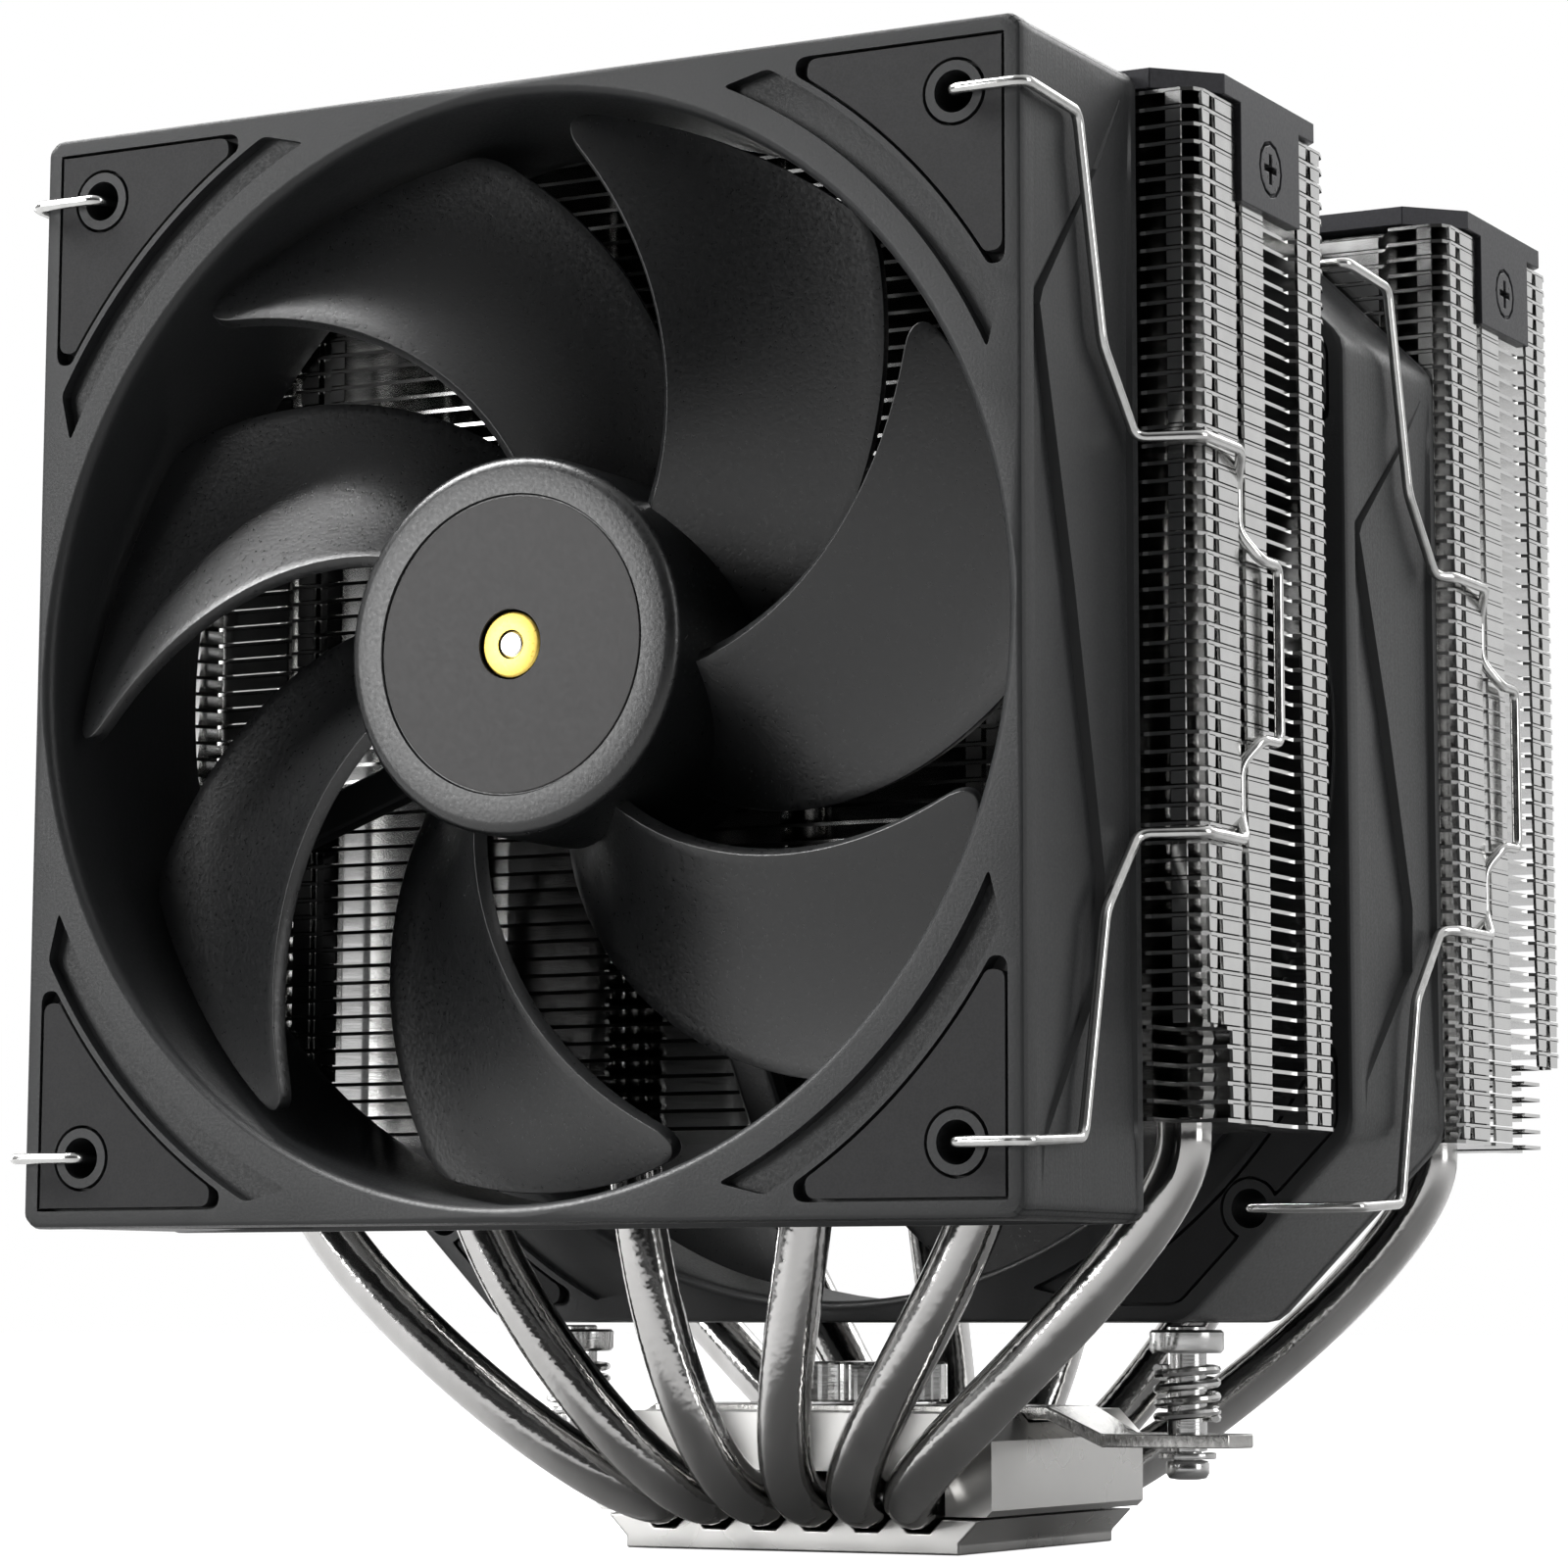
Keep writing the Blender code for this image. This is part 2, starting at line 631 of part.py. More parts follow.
def countersink_profile(extra):
    """The cover screw from its head down, grown by a clearance."""
    head = COVER_SCREW_HEAD_RADIUS + extra
    shank = COVER_SCREW_RADIUS + extra
    return [
        (0, 0),
        (head, 0),
        (head, -COVER_SCREW_HEAD_HEIGHT * COVER_SCREW_RIM),
        (shank, -COVER_SCREW_HEAD_HEIGHT),
        (shank, -COVER_SCREW_LENGTH + 4 * GAP),
        (0, -COVER_SCREW_LENGTH + 4 * GAP),
    ]


def make_top_cover(name, centre_y):
    half_x = SIDE_X + COVER_OVERHANG
    outline = cut_corner_rectangle(half_x, FIN_DEPTH / 2, COVER_CORNER)
    coat = finish(name + "_coating", (0.014, 0.014, 0.015), 0.4, 0.0)
    cover = flat_plate(name, [outline], COVER_BOTTOM, COVER_TOP, coat)
    place(cover, (0, centre_y, 0))
    for side in (-1, 1):
        span = sorted((side * TAB_INNER_X, side * TAB_OUTER_X))
        low = (span[0], -TAB_WIDTH / 2, COVER_BOTTOM - TAB_DROP)
        high = (span[1], TAB_WIDTH / 2, (COVER_BOTTOM + COVER_TOP) / 2)
        tab = boxes(f"{name}_tab_{side}", [(low, high)])
        join(cover, place(tab, (0, centre_y, 0)))
    grow = GAP / math.cos(math.pi / ROUND_SIDES) ** 2 + 0.0001
    for side in (-1, 1):
        sink = turned(f"{name}_countersink_{side}", countersink_profile(grow), ROUND_SIDES)
        sink.data.vertices[0].co.z = GAP
        sink.data.vertices[1].co.z = GAP
        place(sink, (side * TAB_OUTER_X, centre_y, cover_screw_height()), (0, side * math.pi / 2, 0))
        cut(cover, sink)


def make_cover_screw(name, side, centre_y):
    screw = turned(name, countersink_profile(0), ROUND_SIDES, bright_steel(name + "_steel"))
    place(screw, (side * TAB_OUTER_X, centre_y, cover_screw_height()), (0, side * math.pi / 2, 0))
    arm = COVER_SCREW_HEAD_RADIUS * CROSS_ARM
    half = COVER_SCREW_HEAD_RADIUS * CROSS_HALF_WIDTH
    depth = COVER_SCREW_HEAD_HEIGHT * CROSS_DEPTH
    for number, (x, y) in enumerate(((arm, half), (half, arm))):
        slot = boxes(f"{name}_slot_{number}", [((-x, -y, -depth), (x, y, depth))])
        place(slot, screw.location, screw.rotation_euler)
        cut(screw, slot)


def make_tower(label, centre_y, low_corner):
    make_fin_stack(f"{label}_fin_stack", centre_y, low_corner)
    make_top_cover(f"{label}_top_cover", centre_y)
    for side_name, side in (("left", -1), ("right", 1)):
        make_cover_screw(f"{label}_cover_screw_{side_name}", side, centre_y)


# ---------------------------------------------------------------- mounting bar


def bar_outline():
    """The bar from above: straight sides, then a taper to a narrower rounded ear at each end."""
    ear_half = BAR_EAR_WIDTH / 2
    straight = BLOCK_WIDTH / 2
    jog_end = straight + BAR_JOG_LENGTH
    round_x = BAR_LENGTH / 2 - ear_half
    right = [(straight, BAR_WIDTH / 2), (jog_end, ear_half)]
    for step in range(5):
        turn = math.pi / 2 - step * math.pi / 4
        right.append((round_x + ear_half * math.cos(turn), ear_half * math.sin(turn)))
    right += [(jog_end, -ear_half), (straight, -BAR_WIDTH / 2)]
    return [(-x, -y) for x, y in right] + right


def make_mounting_bar():
    bore = hole(SPRING_SCREW_RADIUS, ROUND_SIDES)
    holes = [circle(bore, ROUND_SIDES, (side * SCREW_SPACING / 2, 0)) for side in (-1, 1)]
    holes.append(circle(hole(PRESSURE_SCREW_RADIUS, ROUND_SIDES), ROUND_SIDES))
    low = BAR_BOTTOM
    bar = flat_plate("mounting_bar", [bar_outline()] + holes, low, low + BAR_THICKNESS, nickel("bar_nickel"))
    bm = bmesh.new()
    bm.from_mesh(bar.data)
    bend_start = BLOCK_WIDTH / 2 + GAP
    bend_end = bend_start + BAR_JOG_LENGTH
    for bend_x in (-bend_end, -bend_start, bend_start, bend_end):
        geometry = bm.verts[:] + bm.edges[:] + bm.faces[:]
        bmesh.ops.bisect_plane(bm, geom=geometry, plane_co=(bend_x, 0, 0), plane_no=(1, 0, 0), dist=1e-7)
    for vert in bm.verts:
        share = (abs(vert.co.x) - bend_start) / BAR_JOG_LENGTH
        vert.co.z -= BAR_JOG * min(max(share, 0), 1)
    bm.to_mesh(bar.data)
    bm.free()


def spring_screw_profile():
    """From the stub on its head down to the end below the bar, with the retainer's groove."""
    head_bottom = EAR_TOP + GAP + SPRING_LENGTH + GAP
    head_top = head_bottom + SPRING_SCREW_HEAD_HEIGHT
    groove_top = EAR_BOTTOM - GAP
    groove_bottom = groove_top - RETAINER_THICKNESS - 2 * GAP
    end = EAR_BOTTOM - SPRING_SCREW_BELOW_BAR
    radius = SPRING_SCREW_RADIUS
    return [
        (0, head_top + SPRING_SCREW_STUB),
        (radius, head_top + SPRING_SCREW_STUB),
        (radius, head_top),
        (SPRING_SCREW_HEAD_RADIUS, head_top),
        (SPRING_SCREW_HEAD_RADIUS, head_bottom),
        (radius, head_bottom),
        (radius, groove_top),
        (RETAINER_GROOVE_RADIUS, groove_top),
        (RETAINER_GROOVE_RADIUS, groove_bottom),
        (radius, groove_bottom),
        (radius, end),
        (0, end),
    ]


def make_retainer(name, x):
    """A spring steel ring with one side open, pushed on to the groove from the side."""
    top = EAR_BOTTOM - 2 * GAP
    bottom = top - RETAINER_THICKNESS
    inner = hole(RETAINER_GROOVE_RADIUS, ROUND_SIDES)
    profile = [(RETAINER_RADIUS, top), (RETAINER_RADIUS, bottom), (inner, bottom), (inner, top)]
    ring = turned(name, profile, ROUND_SIDES, bright_steel(name + "_steel"), ring=True)
    place(ring, (x, 0, 0))
    width = RETAINER_GROOVE_RADIUS * RETAINER_MOUTH
    opening = boxes(name + "_mouth", [((-width, 0, bottom - GAP), (width, 2 * RETAINER_RADIUS, top + GAP))])
    cut(ring, place(opening, (x, 0, 0)))


def make_spring(name, x):
    """A compression spring between the screw's head and the bar, with its end turns closed up."""
    low = EAR_TOP + GAP + SPRING_WIRE_RADIUS
    rise = SPRING_LENGTH - 2 * SPRING_WIRE_RADIUS
    steps = SPRING_TURNS * SPRING_POINTS_PER_TURN
    points = []
    for step in range(steps + 1):
        share = step / steps
        eased = share - math.sin(2 * math.pi * share) / (2 * math.pi) * SPRING_END_CLOSING
        turn = 2 * math.pi * step / SPRING_POINTS_PER_TURN
        offset = Vector((math.cos(turn) * SPRING_RADIUS, math.sin(turn) * SPRING_RADIUS, low + rise * eased))
        points.append(offset)
    place(tube(name, points, SPRING_WIRE_RADIUS, bright_steel(name + "_steel"), resolution=1), (x, 0, 0))


def make_pressure_screw():
    """The knurled thumb screw that holds the bar down on the base."""
    head_bottom = BAR_BOTTOM + BAR_THICKNESS + GAP
    head_top = head_bottom + PRESSURE_HEAD_HEIGHT
    rim = []
    for tooth in range(KNURL_TEETH * 2):
        radius = PRESSURE_HEAD_RADIUS - KNURL_DEPTH * (tooth % 2)
        turn = math.pi * tooth / KNURL_TEETH
        rim.append((radius * math.cos(turn), radius * math.sin(turn)))
    screw = flat_plate("pressure_screw", [rim], head_bottom, head_top, bright_steel("pressure_screw_steel"))
    span = (PRESSURE_SCREW_END, head_top - GAP)
    shank = rods("pressure_shank", PRESSURE_SCREW_RADIUS, ROUND_SIDES, *span, [(0, 0)])
    join(screw, shank)


def make_mounting():
    make_mounting_bar()
    make_pressure_screw()
    for side_name, side in (("left", -1), ("right", 1)):
        x = side * SCREW_SPACING / 2
        name = f"spring_screw_{side_name}"
        place(turned(name, spring_screw_profile(), ROUND_SIDES, bright_steel(name + "_steel")), (x, 0, 0))
        make_retainer(f"retaining_ring_{side_name}", x)
        make_spring(f"screw_spring_{side_name}", x)


# ---------------------------------------------------------------- fans


def pad_outline(fan, corner_x, corner_y, grow):
    """A corner pad: two straight edges inside the frame's edges, and an arc around the duct."""
    edge = fan.half - PAD_INSET + grow
    diagonal = 2 * fan.half - fan.cut - (PAD_INSET - grow) * math.sqrt(2)
    arc = fan.duct + PAD_CLEAR_OF_DUCT - grow
    start = math.acos(edge / arc)
    points = [(edge, diagonal - edge), (diagonal - edge, edge)]
    for step in range(PAD_ARC_STEPS + 1):
        turn = math.pi / 2 - start + (2 * start - math.pi / 2) * step / PAD_ARC_STEPS
        points.append((arc * math.cos(turn), arc * math.sin(turn)))
    return [(corner_x * x, corner_y * y) for x, y in points]


def make_pads(fan, root, frame):
    """Eight soft corner pads, and the pockets in the frame that hold them."""
    near = fan.hole_place
    past_faces = (-2 * FAN_DEPTH, 3 * FAN_DEPTH)
    rear_pad = FAN_DEPTH - PAD_THICKNESS
    faces = (
        ("front", 0.0, PAD_THICKNESS, -FAN_DEPTH, PAD_THICKNESS + GAP),
        ("rear", rear_pad, FAN_DEPTH + FAN_SETBACK, rear_pad - GAP, 2 * FAN_DEPTH),
    )
    corners = ((-1, -1), (1, -1), (1, 1), (-1, 1))
    for face, low, high, pocket_low, pocket_high in faces:
        for number, (x, y) in enumerate(corners, start=1):
            name = f"{fan.name}_{face}_pad_{number}"
            centre = [(x * near, y * near)]
            pad = flat_plate(name, [pad_outline(fan, x, y, 0)], low, high, dark_rubber(name + "_rubber"))
            around = rods(name + "_hole", hole(BOSS_RADIUS, BOSS_SIDES), BOSS_SIDES, *past_faces, centre)
            cut(place(pad, parent=root), place(around, parent=root))
            pocket = flat_plate(name + "_pocket", [pad_outline(fan, x, y, GAP)], pocket_low, pocket_high)
            boss = rods(name + "_boss", BOSS_RADIUS, BOSS_SIDES, *past_faces, centre)
            cut(place(pocket, parent=root), place(boss, parent=root))
            cut(frame, pocket)


def tube_inner_radius():
    return hole(SHAFT_RADIUS + BEARING_WALL, ROUND_SIDES)


def tube_outer_radius():
    return tube_inner_radius() + TUBE_WALL


def make_frame(fan, root):
    outline = cut_corner_rectangle(fan.half, fan.half, fan.cut)
    plastic = black_plastic(f"{fan.name}_frame_plastic")
    frame = flat_plate(f"{fan.name}_frame", [outline], 0, FAN_DEPTH, plastic)
    place(frame, parent=root)
    past_faces = (-FAN_DEPTH, 2 * FAN_DEPTH)
    duct = rods(f"{fan.name}_duct", fan.duct, DUCT_SIDES, *past_faces, [(0, 0)])
    cut(frame, place(duct, parent=root))
    near = fan.hole_place
    centres = [(x, y) for x in (-near, near) for y in (-near, near)]
    holes = rods(f"{fan.name}_holes", HOLE_RADIUS, PIPE_BORE_SIDES, *past_faces, centres)
    cut(frame, place(holes, parent=root))
    make_pads(fan, root, frame)

    floor = FAN_DEPTH - MOTOR_FLOOR
    rim = floor - MOTOR_RIM_HEIGHT
    inside = MOTOR_CUP_RADIUS - MOTOR_RIM_WALL
    cup_profile = [
        (0, FAN_DEPTH),
        (MOTOR_CUP_RADIUS, FAN_DEPTH),
        (MOTOR_CUP_RADIUS, rim),
        (inside, rim),
        (inside, floor),
        (tube_outer_radius(), floor),
        (tube_outer_radius(), TUBE_FRONT),
        (tube_inner_radius(), TUBE_FRONT),
        (tube_inner_radius(), floor),
        (0, floor),
    ]
    cup = turned(f"{fan.name}_motor_cup", cup_profile, HUB_SIDES)
    join(frame, place(cup, parent=root))
    reach = fan.duct + STRUT_WIDTH / 2
    start = MOTOR_CUP_RADIUS - MOTOR_RIM_WALL
    for number in range(STRUT_COUNT):
        low = (start, -STRUT_WIDTH / 2, FAN_DEPTH - STRUT_DEPTH)
        high = (reach, STRUT_WIDTH / 2, FAN_DEPTH - GAP)
        strut = boxes(f"{fan.name}_strut_{number}", [(low, high)])
        turn = STRUT_TURN + 2 * math.pi * number / STRUT_COUNT
        join(frame, place(strut, rotation=(0, 0, turn), parent=root))


def blade_mesh(name, tip_radius):
    """One swept, twisted blade. Its leading edge is at the front, ahead in the sense of rotation."""
    bm = bmesh.new()
    bmesh.ops.create_grid(bm, x_segments=BLADE_RADIAL_STEPS, y_segments=BLADE_CHORD_STEPS, size=0.5)
    root_radius = HUB_RADIUS - HUB_WALL / 2
    for vert in bm.verts:
        out = vert.co.x + 0.5
        back = vert.co.y + 0.5
        radius = root_radius + (tip_radius - root_radius) * out
        chord = BLADE_ROOT_CHORD + (BLADE_TIP_CHORD - BLADE_ROOT_CHORD) * out
        depth = BLADE_ROOT_DEPTH + (BLADE_TIP_DEPTH - BLADE_ROOT_DEPTH) * out
        turn = chord * back - BLADE_SWEEP * out
        bow = math.sin(math.pi * back) * BLADE_THICKNESS * BLADE_BOW
        front = BLADE_ROOT_FRONT + (BLADE_TIP_FRONT - BLADE_ROOT_FRONT) * out
        vert.co = (radius * math.cos(turn), radius * math.sin(turn), front + depth * back + bow)
    return mesh_from(bm, name)


def make_rotor(fan, root):
    hub_back = HUB_FRONT + HUB_DEPTH
    cap_back = HUB_FRONT + HUB_CAP
    bore = hole(BUSH_RADIUS, ROUND_SIDES)
    boss = bore + HUB_BOSS_WALL
    boss_back = HUB_FRONT + HUB_BOSS_DEPTH
    inside = HUB_RADIUS - HUB_WALL
    profile = [
        (HUB_RADIUS, hub_back),
        (HUB_RADIUS, HUB_FRONT + HUB_ROUND),
        (HUB_RADIUS - HUB_ROUND, HUB_FRONT),
        (bore, HUB_FRONT),
        (bore, boss_back),
        (boss, boss_back),
        (boss, cap_back),
        (inside, cap_back),
        (inside, hub_back),
    ]
    plastic = black_plastic(f"{fan.name}_rotor_plastic")
    rotor = turned(f"{fan.name}_rotor", profile, HUB_SIDES, plastic, ring=True)
    place(rotor, parent=root)
    mesh = blade_mesh(f"{fan.name}_blade", fan.duct - BLADE_TIP_CLEARANCE)
    for number in range(BLADE_COUNT):
        blade = mesh_object(f"{fan.name}_blade_{number}", mesh)
        shell = blade.modifiers.new("thickness", "SOLIDIFY")
        shell.thickness = BLADE_THICKNESS
        shell.offset = 0
        turn = fan.blade_phase + 2 * math.pi * number / BLADE_COUNT
        join(rotor, place(blade, rotation=(0, 0, turn), parent=root))


def ring_piece(name, outer, inner, front, back, sides, material, root):
    profile = [(outer, back), (outer, front), (inner, front), (inner, back)]
    return place(turned(name, profile, sides, material, ring=True), parent=root)


def stator_outline():
    """Six T-shaped poles around a core."""
    shoe = magnet_inner_radius() * math.cos(math.pi / HUB_SIDES) - STATOR_AIR_GAP
    neck = shoe * POLE_NECK
    core = shoe * POLE_CORE
    half = shoe * POLE_HALF_WIDTH
    narrow = math.asin(half / neck)
    points = []
    for pole in range(STATOR_POLES):
        middle = 2 * math.pi * pole / STATOR_POLES
        steps = [
            (core, -math.asin(half / core)),
            (neck, -narrow),
            (neck, -POLE_SHOE_HALF),
            (shoe, -POLE_SHOE_HALF),
            (shoe, 0),
            (shoe, POLE_SHOE_HALF),
            (neck, POLE_SHOE_HALF),
            (neck, narrow),
            (core, math.asin(half / core)),
        ]
        points += [(r * math.cos(middle + a), r * math.sin(middle + a)) for r, a in steps]
    return points


def magnet_outer_radius():
    return (HUB_RADIUS - HUB_WALL) * math.cos(math.pi / HUB_SIDES) - GAP


def magnet_inner_radius():
    return magnet_outer_radius() - MAGNET_WALL


def make_motor(fan, root):
    around_tube = hole(tube_outer_radius(), ROUND_SIDES)
    magnet_metal = finish(f"{fan.name}_magnet_ferrite", (0.03, 0.03, 0.03), 0.6, 0.3)
    ring_piece(
        f"{fan.name}_magnet_ring",
        magnet_outer_radius(),
        magnet_inner_radius(),
        MAGNET_FRONT,
        MAGNET_FRONT + MAGNET_DEPTH,
        HUB_SIDES,
        magnet_metal,
        root,
    )
    brass = finish(f"{fan.name}_hub_bush_brass", (0.72, 0.5, 0.14), 0.25, 1.0)
    shaft_hole = hole(SHAFT_RADIUS, ROUND_SIDES)
    bush_front = HUB_FRONT + GAP
    bush_back = HUB_FRONT + HUB_BOSS_DEPTH - GAP
    bush_name = f"{fan.name}_hub_bush"
    ring_piece(bush_name, BUSH_RADIUS, shaft_hole, bush_front, bush_back, ROUND_SIDES, brass, root)
    floor = FAN_DEPTH - MOTOR_FLOOR
    shaft_end = floor - 2 * GAP
    steel = bright_steel(f"{fan.name}_shaft_steel")
    shaft = rods(f"{fan.name}_shaft", SHAFT_RADIUS, ROUND_SIDES, bush_front, shaft_end, [(0, 0)], steel)
    place(shaft, parent=root)
    bronze = finish(f"{fan.name}_bearing_bronze", (0.45, 0.3, 0.15), 0.4, 1.0)
    bearing_name = f"{fan.name}_bearing"
    bearing_outer = SHAFT_RADIUS + BEARING_WALL
    span = (TUBE_FRONT + GAP, floor - GAP)
    ring_piece(bearing_name, bearing_outer, shaft_hole, *span, ROUND_SIDES, bronze, root)
    windings = finish(f"{fan.name}_stator_copper", (0.5, 0.22, 0.1), 0.4, 0.8)
    loops = [stator_outline(), circle(around_tube, ROUND_SIDES)]
    back = STATOR_FRONT + STATOR_DEPTH
    place(flat_plate(f"{fan.name}_stator", loops, STATOR_FRONT, back, windings), parent=root)
    board = finish(f"{fan.name}_board_laminate", (0.02, 0.12, 0.05), 0.5, 0.0)
    board_back = floor - GAP
    board_outer = MOTOR_CUP_RADIUS - MOTOR_RIM_WALL - BOARD_MARGIN
    board_loops = [circle(board_outer, ROUND_SIDES), circle(around_tube, ROUND_SIDES)]
    name = f"{fan.name}_circuit_board"
    place(flat_plate(name, board_loops, board_back - BOARD_THICKNESS, board_back, board), parent=root)


def make_fan(fan):
    """The fan is built with its depth along its own Z and then turned to blow towards the back."""
    root = bpy.data.objects.new(f"{fan.name}_axis", None)
    PARTS.objects.link(root)
    place(root, (0, fan.front, fan.bottom + fan.half), (-math.pi / 2, 0, 0))
    make_frame(fan, root)
    make_rotor(fan, root)
    make_motor(fan, root)


# ---------------------------------------------------------------- wire clips


def clip_half(fan, side, tower_y):
    """The upper half of a clip's path, from its hook to the middle of its finger loop.

    It is measured from the hinge line: the fan's hole at its front face, level with the fan's middle.
    """
    hook_x = fan.hole_place
    wire_off = WIRE_RADIUS + GAP
    beside_fan = fan.half + wire_off - hook_x
    beside_fins = SIDE_X + COVER_OVERHANG + WIRE_RADIUS - hook_x
    in_groove = GROOVE_WIRE_X - hook_x
    tower_front = tower_y - FIN_DEPTH / 2 - fan.front
    groove_y = tower_y + CLIP_GROOVE_OFFSET - fan.front
    hook_z = fan.hole_place
    leg = CLIP_LEG_HEIGHT
    loop = CLIP_LOOP_HEIGHT
    path = [
        (0, HOOK_DEPTH, hook_z),
        (0, -wire_off, hook_z),
        (beside_fan, -wire_off, hook_z),
        (beside_fan, FAN_DEPTH * CLIP_STRAIGHT, hook_z - CLIP_BEND),
        (beside_fan, FAN_DEPTH * CLIP_KNEE, CLIP_KNEE_HEIGHT),
        (beside_fan, tower_front - 4 * wire_off, leg),
        (beside_fins, tower_front - 2 * wire_off, leg),
        (beside_fins, groove_y - 3 * wire_off, leg),
        (in_groove, groove_y, leg - 3 * wire_off),
        (in_groove, groove_y, loop + 3 * wire_off),
        (beside_fins, groove_y + 2 * wire_off, loop),
        (beside_fins, groove_y + CLIP_LOOP_REACH, loop),
    ]
    return [Vector((side * x, y, z)) for x, y, z in path]


def make_clip(name, fan, side, tower_y):
    upper = clip_half(fan, side, tower_y)
    lower = [Vector((point.x, point.y, -point.z)) for point in reversed(upper)]
    path = soft_corners(upper + lower, CLIP_BEND)
    clip = tube(name, path, WIRE_RADIUS, bright_steel(name + "_wire"), resolution=1)
    place(clip, (side * fan.hole_place, fan.front, fan.bottom + fan.half))


# ---------------------------------------------------------------- the whole cooler


def main():
    front_half = FRONT_FAN_SIZE / 2
    front_fan = Fan(
        "front_fan",
        front_half,
        FRONT_FAN_CUT,
        front_half - FRONT_FAN_RIM,
        front_half - FRONT_FAN_HOLE_INSET,
        FRONT_TOWER_Y - FAN_BACK,
        FRONT_FAN_BOTTOM,
        FRONT_BLADE_PHASE,
    )
    middle_half = MIDDLE_FAN_SIZE / 2
    middle_fan = Fan(
        "middle_fan",
        middle_half,
        MIDDLE_FAN_CUT,
        middle_half - MIDDLE_FAN_RIM,
        middle_half - MIDDLE_FAN_HOLE_INSET,
        REAR_TOWER_Y - FAN_BACK,
        MIDDLE_FAN_BOTTOM,
        MIDDLE_BLADE_PHASE,
    )
    make_cold_plate()
    make_base_block()
    make_heat_pipes()
    make_tower("front", FRONT_TOWER_Y, FRONT_LOW_CORNER)
    make_tower("rear", REAR_TOWER_Y, REAR_LOW_CORNER)
    make_mounting()
    for fan, tower_y in ((front_fan, FRONT_TOWER_Y), (middle_fan, REAR_TOWER_Y)):
        make_fan(fan)
        for side_name, side in (("left", -1), ("right", 1)):
            make_clip(f"{fan.name}_clip_{side_name}", fan, side, tower_y)


main()
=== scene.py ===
import math

import bmesh
import bpy
from mathutils import Matrix, Vector


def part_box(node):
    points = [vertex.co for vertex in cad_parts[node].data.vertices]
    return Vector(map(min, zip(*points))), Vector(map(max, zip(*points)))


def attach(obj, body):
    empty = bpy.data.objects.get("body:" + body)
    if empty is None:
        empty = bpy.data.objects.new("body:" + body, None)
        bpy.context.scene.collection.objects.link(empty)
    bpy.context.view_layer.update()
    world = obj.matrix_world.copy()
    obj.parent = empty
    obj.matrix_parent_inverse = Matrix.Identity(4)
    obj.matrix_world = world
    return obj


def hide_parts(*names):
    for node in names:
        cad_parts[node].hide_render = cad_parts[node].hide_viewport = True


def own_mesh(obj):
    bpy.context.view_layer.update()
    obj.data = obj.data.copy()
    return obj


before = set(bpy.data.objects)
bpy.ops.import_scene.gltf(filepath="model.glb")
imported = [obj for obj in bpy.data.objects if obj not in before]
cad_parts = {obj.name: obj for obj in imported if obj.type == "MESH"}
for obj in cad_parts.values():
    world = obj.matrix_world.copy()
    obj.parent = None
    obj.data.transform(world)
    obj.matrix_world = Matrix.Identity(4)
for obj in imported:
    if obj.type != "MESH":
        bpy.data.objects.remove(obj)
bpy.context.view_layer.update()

MM = 0.001

# ---------------------------------------------------------------- cold plate and base block
# The cold plate and the block above it are machined from copper and clamp the six heat pipes between them.
# Both are nickel plated to a satin grey after milling, and their edges are lightly broken with a file.


def linear(hex_colour):
    """An sRGB colour such as "8c8c8c" as linear red, green, blue and alpha."""
    shares = [int(hex_colour[place : place + 2], 16) / 255 for place in (0, 2, 4)]
    return [s / 12.92 if s <= 0.04045 else ((s + 0.055) / 1.055) ** 2.4 for s in shares] + [1.0]


def add_node(material, kind, sockets, **settings):
    """A node with its settings, and each socket either set to a value or fed by another node's output."""
    made = material.node_tree.nodes.new(kind)
    for setting, value in settings.items():
        setattr(made, setting, value)
    for socket, value in sockets.items():
        if isinstance(value, bpy.types.NodeSocket):
            material.node_tree.links.new(value, made.inputs[socket])
        else:
            made.inputs[socket].default_value = value
    return made


def new_material(name, hex_colour, metallic, roughness, **others):
    """A material with only its shader set, and the shader and the object's coordinates to build on."""
    material = bpy.data.materials.new(name)
    material.use_nodes = True
    shader = material.node_tree.nodes["Principled BSDF"]
    shader.inputs["Base Color"].default_value = linear(hex_colour)
    shader.inputs["Metallic"].default_value = metallic
    shader.inputs["Roughness"].default_value = roughness
    for socket, value in others.items():
        shader.inputs[socket.replace("_", " ")].default_value = value
    place = add_node(material, "ShaderNodeTexCoord", {}).outputs["Object"]
    return material, shader, place


def feed(material, output, shader, socket):
    material.node_tree.links.new(output, shader.inputs[socket])


def grain(material, place, size_mm, detail=2.0, stretch=(1, 1, 1)):
    """Noise whose lumps are about this far apart, drawn out along an axis by a small stretch."""
    turned = add_node(material, "ShaderNodeMapping", {"Vector": place, "Scale": stretch})
    settings = {"Vector": turned.outputs["Vector"], "Scale": 1 / (size_mm * MM), "Detail": detail}
    return add_node(material, "ShaderNodeTexNoise", settings).outputs["Fac"]


def spread(material, value, low, high):
    """A noise value, which mostly lies near the middle, spread between two ends."""
    sockets = {"Value": value, "From Min": 0.3, "From Max": 0.7, "To Min": low, "To Max": high}
    return add_node(material, "ShaderNodeMapRange", sockets).outputs["Result"]


def relief(material, height, depth_mm, strength=1.0):
    sockets = {"Height": height, "Distance": depth_mm * MM, "Strength": strength}
    return add_node(material, "ShaderNodeBump", sockets).outputs["Normal"]


def colours(material, factor, first, second):
    """A blend from one colour to another."""
    sockets = {"Factor": factor, 6: linear(first), 7: linear(second)}
    return add_node(material, "ShaderNodeMix", sockets, data_type="RGBA").outputs[2]


